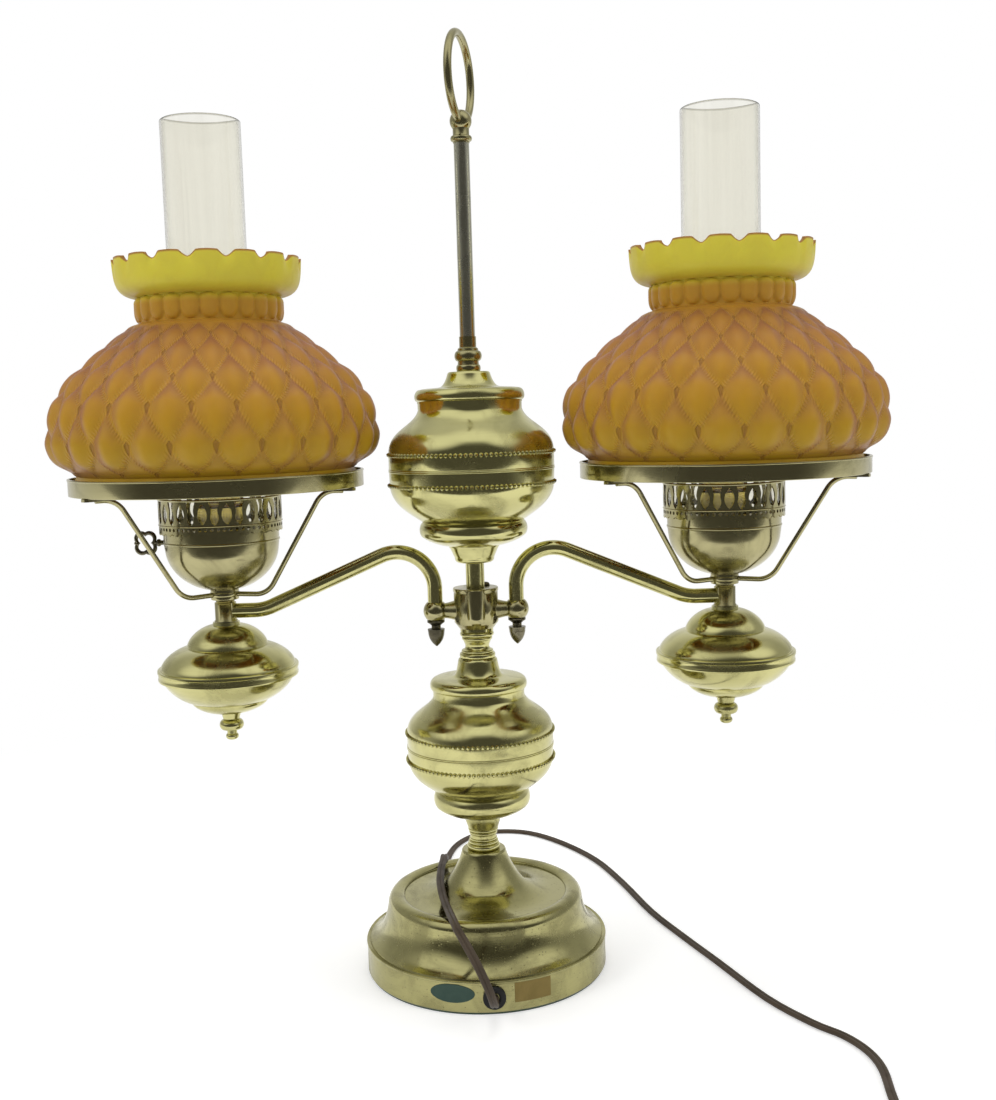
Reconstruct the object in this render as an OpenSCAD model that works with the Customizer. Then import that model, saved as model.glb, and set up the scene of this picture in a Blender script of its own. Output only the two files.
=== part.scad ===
// Twin-arm brass student lamp with two glass shades, two glass chimneys and a mains cord.
// Millimetres, +Z up, origin at the middle of the base on the table, cord side towards -Y.

/* [Base] */
// Radius of the base
base_r = 78; // [70:0.5:90]
// Height of the upright band round the base
band_h = 19.5; // [14:0.5:26]
// Height of the shoulder above the band
shoulder_rise = 29.6; // [24:0.2:36]
// Radius of the shoulder's crest
shoulder_r = 57; // [55:0.5:60]
// Radius of the recess inside the shoulder
recess_r = 52.5; // [50:0.5:53]
// Depth of the recess below the crest
recess_drop = 3.6; // [3:0.2:5]
// Height of the cone above the recess
cone_h = 29; // [24:0.5:36]
// Radius of the cone's top
cone_top_r = 14.2; // [12.5:0.1:17]
// Thickness of the felt pad
felt_t = 1.5; // [1:0.1:3]
// Height of the cast weight
weight_h = 34; // [24:0.5:35]
// Radius of the cast weight
weight_r = 61; // [55:0.5:62]

/* [Column] */
// Outer radius of the threaded stem
stem_r = 5.1; // [4.5:0.05:5.4]
// Radius of the stem's wire bore
stem_bore_r = 3.4; // [2.8:0.05:3.8]
// Height of the turned neck on the base
neck_h = 22.8; // [18:0.2:28]
// Radius of the neck's waist
neck_waist_r = 8.4; // [7.4:0.1:9]
// Height of the turned neck under the hub
hub_neck_h = 19.5; // [15:0.5:26]
// Radius of the hub neck's waist
hub_waist_r = 7.4; // [6.9:0.1:8]
// Outer radius of the plain tube above the hub
tube_r = 5.35; // [5:0.05:5.6]
// Radius of the tube's bore
tube_bore_r = 4.2; // [3.6:0.05:4.4]
// Length of tube that shows between the hub and the upper vase
tube_show = 16; // [10:0.5:26]
// Thickness of the spun sheet brass
sheet_t = 1.2; // [0.8:0.1:1.4]

/* [Lower vase] */
// Radius of the lower vase
lower_r = 47.4; // [44:0.2:52]
// Radius of its foot
lower_foot_r = 31.5; // [29:0.2:34]
// Radius of its neck
lower_neck_r = 29.4; // [27:0.2:31]
// Height of its foot
lower_foot_h = 17.3; // [15:0.2:22]
// Height from the foot to the seam
lower_bowl_h = 29.5; // [26:0.5:36]
// Height from the seam to the neck
lower_dome_h = 35.7; // [30:0.5:42]
// Height of its cap's rim
lower_rim_h = 8; // [6.5:0.2:10]
// Height of its cap's cone
lower_cap_h = 13; // [10:0.5:18]

/* [Upper vase] */
// Radius of the upper vase
upper_r = 52.5; // [49:0.2:55]
// Radius of its foot
upper_foot_r = 34.5; // [31:0.2:37]
// Radius of its neck
upper_neck_r = 32.8; // [30:0.2:34]
// Height of the turned seat under it
seat_h = 11.2; // [9:0.2:16]
// Height of its foot
upper_foot_h = 15.7; // [14:0.2:20]
// Height from the foot to the seam
upper_bowl_h = 33; // [28:0.5:40]
// Height from the seam to the neck
upper_dome_h = 41.5; // [36:0.5:48]
// Height of its cap's rim
upper_rim_h = 8.5; // [7:0.2:10]
// Height of its cap's cone
upper_cap_h = 10.7; // [8:0.5:15]

/* [Carrying rod] */
// Height of the turned collar under the rod
collar_h = 21.8; // [18:0.2:28]
// Radius of the rod
rod_r = 4.8; // [4.2:0.1:5.6]
// Length of the rod
rod_len = 118; // [90:1:150]
// Radius of the finial's ball
finial_r = 6.8; // [6.2:0.1:8]
// Mean radius of the ring handle
ring_r = 26; // [20:0.5:34]
// Radius of the ring's wire
ring_wire_r = 2.5; // [2:0.1:2.8]
// Turn of the ring's plane away from the front
ring_turn = 75; // [0:1:180]

/* [Hub and arms] */
// Radius of the hub
hub_r = 14.1; // [13:0.1:16]
// Height of the hub
hub_h = 26.1; // [24:0.1:32]
// Distance of each pivot ball from the column
ball_x = 26; // [25.4:0.2:31]
// Radius of the pivot balls
ball_r = 7.8; // [7.4:0.1:8.6]
// Outer radius of the arm tubes
arm_r = 4.75; // [4.2:0.05:5]
// Radius of the arm tubes' bore
arm_bore_r = 3.7; // [3:0.05:3.9]
// Bend radius at the top of each arm
arm_bend_r = 24; // [20:0.5:28]
// Bend radius at the outer end of each arm
arm_toe_r = 30; // [20:1:40]
// Height of the arm's crest above its ball
arm_rise = 38.5; // [34:0.5:44]
// Height of the arm's outer end above its ball
arm_end_rise = 4.3; // [2:0.1:8]
// Downward slope of the arm
arm_slope = 23; // [19:0.5:26]
// Distance of each lamp head from the column
head_x = 160; // [150:1:175]
// Length of the acorn nuts
acorn_h = 17; // [14:0.5:20]

/* [Lamp heads] */
// Radius of the font's waistband
font_r = 44; // [40:0.5:48]
// Height of the font's upper half
font_top_h = 31.5; // [28:0.5:36]
// Height of the font's lower half
font_low_h = 27; // [24:0.5:32]
// Length of the drop finial under the font
drop_h = 18.5; // [16:0.5:22]
// Outer radius of the threaded nipple inside each head
nipple_r = 4; // [3.6:0.05:4.2]
// Radius of the coupling that holds the arm
coupling_r = 6.8; // [6.4:0.1:7.6]
// Height of the coupling
coupling_h = 14.5; // [13:0.1:18]
// Radius of the holder's collar
holder_r = 8.9; // [8.2:0.1:10.5]
// Height of the holder's collar
holder_h = 6.9; // [5:0.1:9]
// Rise of the holder from the bottom of its collar to its tabs
holder_rise = 70; // [64:0.5:80]
// Radius of the holder's wire
wire_r = 1.6; // [1.3:0.1:1.9]
// Turn of the left holder's first arm
left_holder_turn = 103; // [95:1:111]
// Turn of the right holder's first arm
right_holder_turn = 90; // [82:1:98]
// Outer radius of the shade ring
shade_ring_r = 91; // [91:0.2:96]
// Height of the shade ring
shade_ring_h = 10.4; // [8:0.2:14]
// Radius of the lamp cup
cup_r = 36; // [34:0.2:36.4]
// Height of the lamp cup
cup_h = 38.1; // [36:0.1:46]
// Outer radius of the pierced gallery
gallery_r = 39.3; // [39.2:0.1:42]
// Height of the gallery above the cup
gallery_h = 21; // [16:0.5:24]
// Number of openings round the gallery
gallery_n = 16; // [12:2:22]
// Radius of the socket's shell
socket_r = 15.1; // [14.8:0.1:16]
// Height of the socket
socket_h = 50; // [48:0.5:54]
// Turn of the left key
left_key_turn = 180; // [170:1:190]
// Turn of the right key
right_key_turn = 60; // [50:1:64]
// Radius of the key's stem
key_r = 1.5; // [1.2:0.05:1.6]

/* [Glass] */
// Outer radius of the chimney's foot
chimney_foot_r = 37; // [34:0.2:37.4]
// Outer radius of the chimney's tube
chimney_r = 24.5; // [23:0.1:27]
// Height of the chimney
chimney_h = 250; // [220:1:280]
// Thickness of the chimney glass
chimney_t = 1.8; // [1.4:0.1:2.2]
// Play between the shade's fitter and the wall of its ring
fitter_play = 2.6; // [1.6:0.1:4]
// Radius of the shade at its widest
shade_r = 102.4; // [98:0.2:106]
// Radius of the shade's neck
shade_neck_r = 43; // [42:0.2:46]
// Radius of the shade's collar at its rim
shade_rim_r = 57; // [53:0.2:60]
// Height of the shade's body, from the fitter to the neck
shade_body_h = 100; // [92:0.5:110]
// Height of the shade's collar, from the neck to the rim
shade_collar_h = 41; // [38:0.5:48]
// Thickness of the shade glass
shade_t = 3; // [2.4:0.1:3.4]
// Number of scallops round the shade's rim
scallop_n = 16; // [12:1:24]
// Radius of the bulb
bulb_r = 17; // [14.5:0.5:19]
// Height of the bulb's glass
bulb_h = 84; // [70:1:95]
// Thickness of the bulb's wall
bulb_t = 1.2; // [0.8:0.1:1.6]

/* [Cord] */
// Width of the flat twin cord
cord_w = 5.2; // [4.6:0.1:5.4]
// Thickness of the flat twin cord
cord_t = 2.9; // [2.4:0.1:3]
// Turns in the put-away coil
coil_turns = 4.25; // [3.25:1:5.25]
// Radius of the coil's outer turn
coil_r = 36; // [35:0.5:40]
// Gap between the coil's turns and layers
coil_gap = 0.7; // [0.65:0.05:0.9]
// Length of the plug's body
plug_len = 28; // [24:1:34]
// Width of the plug's body
plug_w = 23; // [20:0.5:27]

/* [Hidden] */
$fn = 96;

// Radial play of parts that are screwed or slid together
fit = 0.05;
// Play between pieces that move on each other
play = 0.3;

// Base heights
band_top_z = felt_t + band_h;
crest_z = band_top_z + shoulder_rise;
recess_z = crest_z - recess_drop;
lip_w = 6;
cone_floor_z = recess_z + sheet_t;
cone_top_z = cone_floor_z + cone_h;
weight_top_z = recess_z - sheet_t;
weight_z = weight_top_z - weight_h;
nut_h = 6;
nut_r = 9;
bushing_x = 4;
bushing_z = 11;
bushing_r = 7;
bushing_lip = 2;
bushing_barrel_r = 5.2;

// Column heights
neck_top_z = cone_top_z + neck_h;
lower_seam_z = neck_top_z + lower_foot_h + lower_bowl_h;
lower_neck_z = lower_seam_z + lower_dome_h;
lower_rim_z = lower_neck_z + lower_rim_h;
lower_cap_z = lower_rim_z + lower_cap_h;
hub_z = lower_cap_z + hub_neck_h;
hub_top_z = hub_z + hub_h;
hub_floor = 3.5;
slot_r = tube_r + fit;
tube_ball_z = hub_z + hub_floor + slot_r;
seat_z = hub_top_z + tube_show;
upper_z = seat_z + seat_h;
upper_seam_z = upper_z + upper_foot_h + upper_bowl_h;
upper_neck_z = upper_seam_z + upper_dome_h;
upper_rim_z = upper_neck_z + upper_rim_h;
upper_cap_z = upper_rim_z + upper_cap_h;
rod_z = upper_cap_z + collar_h;
rod_top_z = rod_z + rod_len;
finial_stem_h = 7.5;
finial_ball_z = rod_top_z + finial_stem_h + finial_r - 1;
ring_z = finial_ball_z + ring_r;
stud_r = 3;
stud_h = 8;

// Arm path in the plane of the column and a head
ball_z = hub_z + 11.5;
ball_flat = 5.6;
ball_ledge = 4;
acorn_stud_r = 2.8;
arm_top_z = ball_z + arm_rise;
arm_end_z = ball_z + arm_end_rise;
bend_z = arm_top_z - arm_bend_r;
bend_x = ball_x + arm_bend_r;
bend_end = [bend_x + arm_bend_r * sin(arm_slope), bend_z + arm_bend_r * cos(arm_slope)];
toe_x = bend_end[0] + (bend_end[1] - arm_end_z) / tan(arm_slope) + arm_toe_r * tan(arm_slope / 2);
arm_end_x = head_x - nipple_r - play;

// Head heights
coupling_foot = 6.8;
coupling_z = arm_end_z - coupling_foot;
coupling_top_z = coupling_z + coupling_h;
font_seam_z = coupling_z - font_top_h;
font_low_z = font_seam_z - font_low_h;
nipple_depth = 4;
cup_z = coupling_top_z + holder_h;
cup_top_z = cup_z + cup_h;
gallery_t = 1;
gallery_floor_z = cup_top_z + gallery_t;
gallery_skirt = 1.6;
socket_lift = 4;
socket_z = cup_z + socket_lift;
socket_top_z = socket_z + socket_h;
socket_grip = 7;
bulb_base_r = 13;
bulb_base_h = 24;
bulb_floor_z = socket_top_z - 19;
key_z = bulb_floor_z - 4.5;
key_bore_r = 8;
key_bow_x = cup_r + 6;
key_bow_r = 7.2;
ring_seat_z = coupling_top_z + holder_rise;
shade_ring_t = 1.4;
ledge_w = 6;
fitter_r = shade_ring_r - shade_ring_t - fitter_play;
shade_z = ring_seat_z + shade_ring_t + play;
shade_neck_z = shade_z + shade_body_h;
shade_rim_z = shade_neck_z + shade_collar_h;
chimney_z = gallery_floor_z + play;

// Holder wire in the plane of the axis and one tab
tab_len = 12;
tab_w = 7;
tab_z = ring_seat_z - wire_r;
wire_z = coupling_top_z + holder_h / 2;
wire_slope = 58;
wire_bend_r = 15;
tab_r = shade_ring_r - tab_len;
wire_line_r = tab_r - (tab_z - wire_z) / tan(wire_slope) - 2 * wire_bend_r * tan(wire_slope / 2);

// Cord route: x, y, z and the lean of its flat side, which turns over as it climbs the base
cord_route = [
    [4, -75, 11, 0], [4, -83, 11, 0], [4, -90.7, 12.2, 18], [3.7, -97.7, 15.8, 36], [2.8, -103.2, 21.4, 54],
    [1.2, -106.8, 28.4, 72], [-1.5, -108, 36, 90], [-5, -107, 43.8, 108], [-9, -103.3, 50.5, 126],
    [-13, -97.5, 55.8, 144], [-16.5, -89.5, 58.8, 162], [-19, -78, 59.5, 176], [-21, -65, 58, 180],
    [-23, -50, 55.8, 180], [-26.5, -28, 55, 180], [-29, -4, 56, 180], [-29.2, 20, 55.6, 180],
    [-28.2, 42, 54.6, 180], [-28, 56, 52.5, 180], [-28, 70, 45.5, 180], [-28.5, 82, 35.5, 180],
    [-29, 94, 24, 180], [-29.5, 108, 12.5, 180], [-30, 126, 4.5, 180], [-30.5, 150, 1.9, 180],
    [-31, 176, 1.7, 180], [-29, 202, 1.7, 180], [-22, 228, 1.7, 180], [-8, 248, 1.7, 180],
    [12, 256, 1.7, 180], [38, 249, 1.7, 180], [64, 221, 1.7, 180], [88, 178, 1.7, 180],
    [104, 126, 1.7, 180], [118, 68, 1.7, 180], [134, 22, 1.7, 180], [149, -18, 1.7, 180],
    [169, -72, 1.7, 180], [188, -105, 1.7, 180], [202, -122, 1.7, 180], [210, -140, 1.7, 180],
    [212, -160, 1.7, 180], [208, -190, 1.7, 180], [206, -220, 2, 180], [206, -250, 2.3, 180]];
cord_steps = 2;
cord_end = cord_route[len(cord_route) - 1];
coil_x = cord_end[0] - coil_r;
coil_y = cord_end[1];
coil_pitch = cord_w + coil_gap;
coil_layer = cord_t + coil_gap;
coil_low_z = cord_end[2];
coil_rings = 24;
tail_len = 34;
tail_rings = 3;
tie_w = 8;
tie_t = 0.5;
tie_turn = 135;
plug_t = 2 * (coil_low_z + coil_layer) - 0.2;
blade_len = 17;
blade_gap = 12.7;

brass = "darkkhaki";
dark_brass = "dimgray";

// Points of a cubic curve from a to d, with handles b and c
function curve(a, b, c, d, n = 8) = [
    for (i = [0 : n])
        let (t = i / n, u = 1 - t)
            u * u * u * a + 3 * u * u * t * b + 3 * u * t * t * c + t * t * t * d];

// Points of a half-round bead of height h and bulge b on a wall of radius r
function bead(r, z, h, b, n = 6) = [
    for (i = [0 : n])
        [r + b * sin(180 * i / n), z + h * (1 - cos(180 * i / n)) / 2]];

// A line of points without its repeats
function tidy(p) = [for (i = [0 : len(p) - 1]) if (i == 0 || norm(p[i] - p[max(i - 1, 0)]) > 0.02) p[i]];

function reversed(p) = [for (i = [len(p) - 1 : -1 : 0]) p[i]];

function unit(v) = v / norm(v);

// The line moved by t to the left of its direction
function moved(p, t) = [
    for (i = [0 : len(p) - 1])
        let (d = unit(p[min(i + 1, len(p) - 1)] - p[max(i - 1, 0)]))
            p[i] + t * [-d[1], d[0]]];

// Sheet of thickness t spun to an outer line
module spun(line, t) {
    p = tidy(line);
    rotate_extrude()
        polygon(concat(p, reversed(moved(p, t))));
}

// Solid turned to an outer line, with a bore
module turned(line, bore) {
    p = tidy(line);
    rotate_extrude()
        polygon(concat([[bore, p[0][1]]], p, [[bore, p[len(p) - 1][1]]]));
}

// Points of an arc about c
function arc(c, r, a0, a1, n) = [for (i = [0 : n]) let (a = a0 + (a1 - a0) * i / n) c + r * [cos(a), sin(a)]];

// Corners of round sections of radius r set square to a line in the XZ plane
function round_sections(p, r, sides) = [
    for (i = [0 : len(p) - 1])
        let (
            before = i == 0 ? p[1] - p[0] : p[i] - p[i - 1],
            after = i == len(p) - 1 ? before : p[i + 1] - p[i],
            d = unit(unit(before) + unit(after)))
        for (k = [0 : sides - 1])
            let (a = 360 * k / sides, s = r * cos(a))
                [p[i][0] - d[1] * s, r * sin(a), p[i][1] + d[0] * s]];

// Triangles of the wall of a tube of n rings with s corners each, whose first corner is o
function wall_faces(n, s, o = 0) = concat(
    [for (k = [0 : n - 2]) for (i = [0 : s - 1]) [o + k * s + i, o + k * s + (i + 1) % s, o + (k + 1) * s + i]],
    [for (k = [0 : n - 2]) for (i = [0 : s - 1])
        [o + k * s + (i + 1) % s, o + (k + 1) * s + (i + 1) % s, o + (k + 1) * s + i]]);

// Triangles of a solid round bar of n rings with s corners each
function bar_faces(n, s) = concat(
    [for (i = [1 : s - 2]) [0, i + 1, i]],
    [for (i = [1 : s - 2]) [(n - 1) * s, (n - 1) * s + i, (n - 1) * s + i + 1]],
    wall_faces(n, s));

// Triangles of a tube: its outer wall, its inner wall turned round, and a flat ring at each end
function tube_faces(n, s) = let (o = n * s, e = (n - 1) * s) concat(
    wall_faces(n, s),
    [for (f = wall_faces(n, s, o)) [f[0], f[2], f[1]]],
    [for (i = [0 : s - 1]) [(i + 1) % s, i, o + i]],
    [for (i = [0 : s - 1]) [(i + 1) % s, o + i, o + (i + 1) % s]],
    [for (i = [0 : s - 1]) [e + i, e + (i + 1) % s, o + e + i]],
    [for (i = [0 : s - 1]) [e + (i + 1) % s, o + e + (i + 1) % s, o + e + i]]);

// Base

module base_felt() {
    color("darkgreen")
        cylinder(r = base_r - 1, h = felt_t);
}

module base_weight() {
    channel_w = 13;
    channel_h = 12;
    top_r = recess_r - 3;
    color("dimgray")
        difference() {
            turned([[weight_r, weight_z], [weight_r, weight_z + 0.45 * weight_h],
                [top_r, weight_z + 0.8 * weight_h], [top_r, weight_top_z]], stem_r + play);
            translate([-channel_w / 2, -base_r, weight_z - 1])
                cube([channel_w, base_r, channel_h + 1]);
        }
}

module base_skirt() {
    round_r = 0.9;
    ogee = [shoulder_r + 6.2, crest_z - 5.8];
    cove = [base_r - round_r, band_top_z];
    inner = [recess_r + fit, recess_z];
    color(brass)
        difference() {
            spun(concat(
                [[base_r, felt_t], [base_r, band_top_z - round_r]],
                curve(cove, cove + [-8, 4], ogee + [1.4, -11], ogee, 12),
                curve(ogee, ogee + [-0.5, 3.6], [shoulder_r + 3.4, crest_z], [shoulder_r, crest_z], 8),
                curve([shoulder_r, crest_z], [shoulder_r - 2, crest_z], inner + [0, 2.6], inner + [0, 1.4], 6),
                [inner, inner - [lip_w, 0]]), sheet_t);
            translate([bushing_x, 0, bushing_z])
                rotate([90, 0, 0])
                    cylinder(r = bushing_barrel_r + fit, h = base_r + 5);
        }
}

module base_cone() {
    rim = [recess_r - fit, cone_floor_z];
    knee = [27.3, cone_floor_z + 0.19 * cone_h];
    top = [cone_top_r, cone_top_z];
    color(brass)
        spun(concat(
            [rim, rim - [lip_w, 0]],
            curve(rim - [lip_w, 0], rim - [lip_w + 9, 0], knee + [4.5, -3], knee, 8),
            curve(knee, knee + [-5, 4], top + [1.6, -8], top - [0, 0.6], 10),
            [top - [0.6, 0], [stem_r + play, cone_top_z]]), sheet_t);
}

module base_locknut() {
    color("silver")
        difference() {
            translate([0, 0, weight_z - nut_h])
                cylinder(r = nut_r, h = nut_h, $fn = 6);
            translate([0, 0, weight_z - nut_h - 1])
                cylinder(r = stem_r + fit, h = nut_h + 2);
        }
}

module cord_bushing() {
    bore_r = cord_w / 2 + play;
    mouth_r = bore_r + 1.2;
    depth = 6;
    color("black")
        translate([bushing_x, -base_r - fit, bushing_z])
            rotate([90, 0, 0])
                rotate_extrude()
                    polygon([[bore_r, -depth], [bushing_barrel_r, -depth],
                        [bushing_barrel_r, 0], [bushing_r, 0],
                        [bushing_r, bushing_lip - 0.8], [bushing_r - 0.8, bushing_lip], [mouth_r, bushing_lip],
                        [bore_r, bushing_lip - 1.4]]);
}

// Column

module stem_rod() {
    low_z = weight_z - nut_h - 1;
    color("darkgoldenrod")
        translate([0, 0, low_z])
            difference() {
                cylinder(r = stem_r, h = hub_z + 1.5 - low_z);
                translate([0, 0, -1])
                    cylinder(r = stem_bore_r, h = hub_z + 5 - low_z);
            }
}

module base_neck() {
    z = cone_top_z;
    w = neck_waist_r;
    color(brass)
        turned(concat(
            bead(w + 1.2, z, 0.16 * neck_h, 1.1),
            bead(w + 0.6, z + 0.16 * neck_h, 0.1 * neck_h, 0.7),
            bead(w + 0.1, z + 0.26 * neck_h, 0.08 * neck_h, 0.5),
            [[w, z + 0.37 * neck_h]],
            bead(w + 0.3, z + 0.44 * neck_h, 0.08 * neck_h, 0.5),
            bead(w + 0.8, z + 0.53 * neck_h, 0.09 * neck_h, 0.6),
            curve([w + 1.5, z + 0.63 * neck_h], [w + 2.2, z + 0.75 * neck_h],
                [w + 3.4, z + 0.86 * neck_h], [w + 3.8, neck_top_z], 6)), stem_r + play);
}

// Outer line of a vase's lower half: flat underside, rolled foot, groove and bowl up to the seam
function vase_low(z, hole, sole_r, foot_r, foot_h, r, bowl_h) = let (
        groove = [foot_r - 2.4, z + foot_h],
        seam = [r, z + foot_h + bowl_h])
    concat(
        [[hole, z], [sole_r, z]],
        curve([sole_r, z], [sole_r + 5, z + 0.3],
            [foot_r - 5, z + 0.22 * foot_h], [foot_r - 2.6, z + 0.36 * foot_h], 5),
        curve([foot_r - 2.6, z + 0.36 * foot_h], [foot_r + 0.6, z + 0.44 * foot_h],
            [foot_r + 0.7, z + 0.86 * foot_h], groove, 9),
        curve(groove, groove + [7, 5],
            [r - 1.2, seam[1] - 0.66 * bowl_h], [r - 0.5, seam[1] - 0.3 * bowl_h], 12),
        [seam - [0, 4], seam - [0, 2], seam]);

// Outer line of a vase's upper half: from the seam over the shoulder to the neck
function vase_high(z, r, neck_r, dome_h) = let (
        brow = [r - 0.2, z + 0.26 * dome_h],
        neck = [neck_r, z + 0.9 * dome_h])
    concat(
        [[r, z], [r, z + 2], [r, z + 4], brow],
        curve(brow, brow + [-0.4, 0.36 * dome_h], neck + [3, -0.24 * dome_h], neck, 14),
        [[neck_r, z + dome_h]]);

// Outer line of a vase's cap: rolled rim, flat top and a cone up to its collar
function vase_lid(z, hole, neck_r, rim_h, cone_r, top_r, cap_h) = let (
        rim_r = neck_r + 1.9,
        brim = [neck_r - 0.6, z + rim_h],
        foot = [cone_r, z + rim_h + 1.4],
        top = [top_r, z + rim_h + cap_h])
    concat(
        [[neck_r + 0.3, z], [neck_r + 0.3, z + 0.14 * rim_h]],
        curve([neck_r + 0.3, z + 0.14 * rim_h], [rim_r + 0.7, z + 0.2 * rim_h],
            [rim_r + 0.5, z + 0.86 * rim_h], brim, 8),
        curve(brim, brim + [-4, 1], foot + [3, -0.6], foot, 5),
        curve(foot, foot + [-2.6, 0.5], top + [0.8, -4], top - [0, 0.8], 7),
        [top - [0.8, 0], [hole, top[1]]]);

module lower_vase_bottom() {
    color(brass)
        spun(vase_low(neck_top_z, stem_r + play, neck_waist_r + 4.4, lower_foot_r, lower_foot_h,
            lower_r, lower_bowl_h), sheet_t);
}

module lower_vase_top() {
    color(brass)
        spun(vase_high(lower_seam_z, lower_r, lower_neck_r, lower_dome_h), sheet_t);
}

module lower_vase_cap() {
    color(brass)
        spun(vase_lid(lower_neck_z, stem_r + play, lower_neck_r, lower_rim_h, lower_neck_r - 13,
            hub_waist_r + 5, lower_cap_h), sheet_t);
}

module hub_neck() {
    z = lower_cap_z;
    w = hub_waist_r;
    color(brass)
        turned(concat(
            bead(w + 3.2, z, 0.18 * hub_neck_h, 0.9),
            bead(w + 2, z + 0.18 * hub_neck_h, 0.1 * hub_neck_h, 0.8),
            curve([w + 1.4, z + 0.29 * hub_neck_h], [w, z + 0.34 * hub_neck_h],
                [w, z + 0.42 * hub_neck_h], [w + 1, z + 0.52 * hub_neck_h], 6),
            bead(w + 1.6, z + 0.6 * hub_neck_h, 0.12 * hub_neck_h, 0.8),
            bead(w + 2.5, z + 0.73 * hub_neck_h, 0.14 * hub_neck_h, 1),
            [[w + 3.2, z + 0.9 * hub_neck_h], [w + 3.2, hub_z]]), stem_r + play);
}

// Hub and arms

// The hub's openings: the stem below, the slot that the tube stands in, and the wire way
module hub_cuts() {
    translate([0, 0, hub_z - 1])
        cylinder(r = stem_r + fit, h = 3);
    translate([0, 0, hub_z])
        cylinder(r = stem_bore_r, h = hub_floor + 2);
    translate([0, 0, tube_ball_z]) {
        sphere(r = slot_r);
        cylinder(r = slot_r, h = hub_h);
        rotate([90, 0, 0])
            cylinder(r = slot_r, h = hub_r + 2);
        translate([-slot_r, -hub_r - 2, 0])
            cube([2 * slot_r, hub_r + 2, hub_h]);
    }
    translate([0, 0, ball_z])
        rotate([0, 90, 0])
            cylinder(r = 2.2, h = 2 * ball_x, center = true);
    hub_screw_place()
        translate([0, 0, -stud_h])
            cylinder(r = 2 + fit, h = stud_h + 1);
}

module hub_screw_place() {
    turn = 52;
    translate([(hub_r + slot_r) / 2 * cos(turn), (hub_r + slot_r) / 2 * sin(turn), hub_top_z])
        children();
}

module hub() {
    lip = 0.4;
    neck_r = 4.6;
    color(brass)
        difference() {
            union() {
                turned([[hub_r - 3, hub_z], [hub_r - 2.4, hub_z + 0.8], [hub_r, hub_z + 4],
                    [hub_r, hub_top_z - 3.2], [hub_r - 0.6, hub_top_z - 2.9],
                    [hub_r + lip, hub_top_z - 2.2], [hub_r + lip, hub_top_z - 0.4],
                    [hub_r, hub_top_z]], 0);
                for (side = [-1, 1])
                    translate([0, 0, ball_z])
                        rotate([0, 90 * side, 0]) {
                            rotate_extrude()
                                polygon(concat([[0, hub_r - 5]],
                                    curve([7.2, hub_r - 5], [6.4, hub_r + 1], [neck_r + 0.2, hub_r + 2.5],
                                        [neck_r, ball_x - 3], 6),
                                    [[0, ball_x - 3]]));
                            translate([0, 0, ball_x])
                                sphere(r = ball_r);
                        }
            }
            hub_cuts();
            for (side = [-1, 1])
                translate([side * ball_x, 0, ball_z]) {
                    translate([0, 0, -ball_ledge])
                        cylinder(r = arm_r + fit, h = 2 * ball_r);
                    translate([0, 0, -2 * ball_r])
                        cylinder(r = acorn_stud_r + fit, h = 3 * ball_r);
                    for (flip = [0, 180])
                        rotate([flip, 0, 0])
                            translate([0, 0, ball_flat])
                                cylinder(r = ball_r, h = ball_r);
                }
        }
}

module hub_screw() {
    head_r = 3.2;
    head_h = 2.2;
    color(dark_brass)
        hub_screw_place() {
            rotate_extrude()
                polygon(concat([[0, 0], [head_r, 0]],
                    curve([head_r, 0.6], [head_r - 0.2, head_h - 0.4],
                        [head_r - 1.2, head_h], [0.01, head_h], 5)));
            translate([0, 0, -stud_h + 1])
                cylinder(r = 2, h = stud_h - 1);
        }
}

module stem_tube() {
    color(brass)
        difference() {
            union() {
                translate([0, 0, tube_ball_z])
                    cylinder(r = tube_r, h = upper_cap_z + stud_h - tube_ball_z);
                translate([0, 0, tube_ball_z])
                    sphere(r = tube_r);
            }
            translate([0, 0, tube_ball_z])
                cylinder(r = tube_bore_r, h = upper_cap_z);
            translate([0, 0, hub_z])
                cylinder(r = stem_bore_r, h = 2 * slot_r + hub_floor);
            translate([0, 0, ball_z])
                rotate([0, 90, 0])
                    cylinder(r = 2.2, h = 4 * tube_r, center = true);
        }
}

module arm(side) {
    sides = 24;
    line = tidy(concat(
        [[ball_x, ball_z - ball_ledge + play]],
        arc([bend_x, bend_z], arm_bend_r, 180, 90 - arm_slope, 10),
        arc([toe_x, arm_end_z + arm_toe_r], arm_toe_r, 270 - arm_slope, 270, 3),
        [[arm_end_x, arm_end_z]]));
    color(brass)
        rotate(side < 0 ? 180 : 0)
            polyhedron(concat(round_sections(line, arm_r, sides), round_sections(line, arm_bore_r, sides)),
                tube_faces(len(line), sides));
}

module acorn_nut(side) {
    top_z = ball_z - ball_flat - play;
    cap_r = 5.6;
    low_z = top_z - acorn_h;
    color(dark_brass)
        translate([side * ball_x, 0, 0]) {
            turned(concat(
                [[0.02, low_z]],
                curve([0.4, low_z + 0.02], [2.4, low_z + 1.8], [cap_r - 0.6, low_z + 0.24 * acorn_h],
                    [cap_r - 0.3, low_z + 0.58 * acorn_h], 7),
                [[cap_r - 0.1, low_z + 0.66 * acorn_h], [3, low_z + 0.68 * acorn_h],
                    [3, low_z + 0.8 * acorn_h]],
                [[cap_r - 1.4, low_z + 0.86 * acorn_h], [cap_r, low_z + 0.92 * acorn_h], [cap_r, top_z]]), 0);
            translate([0, 0, top_z - 0.5])
                cylinder(r = acorn_stud_r, h = 0.5 + play + ball_flat - ball_ledge + play);
        }
}

// Lamp heads

module at_head(side) {
    translate([side * head_x, 0, 0])
        children();
}

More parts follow.
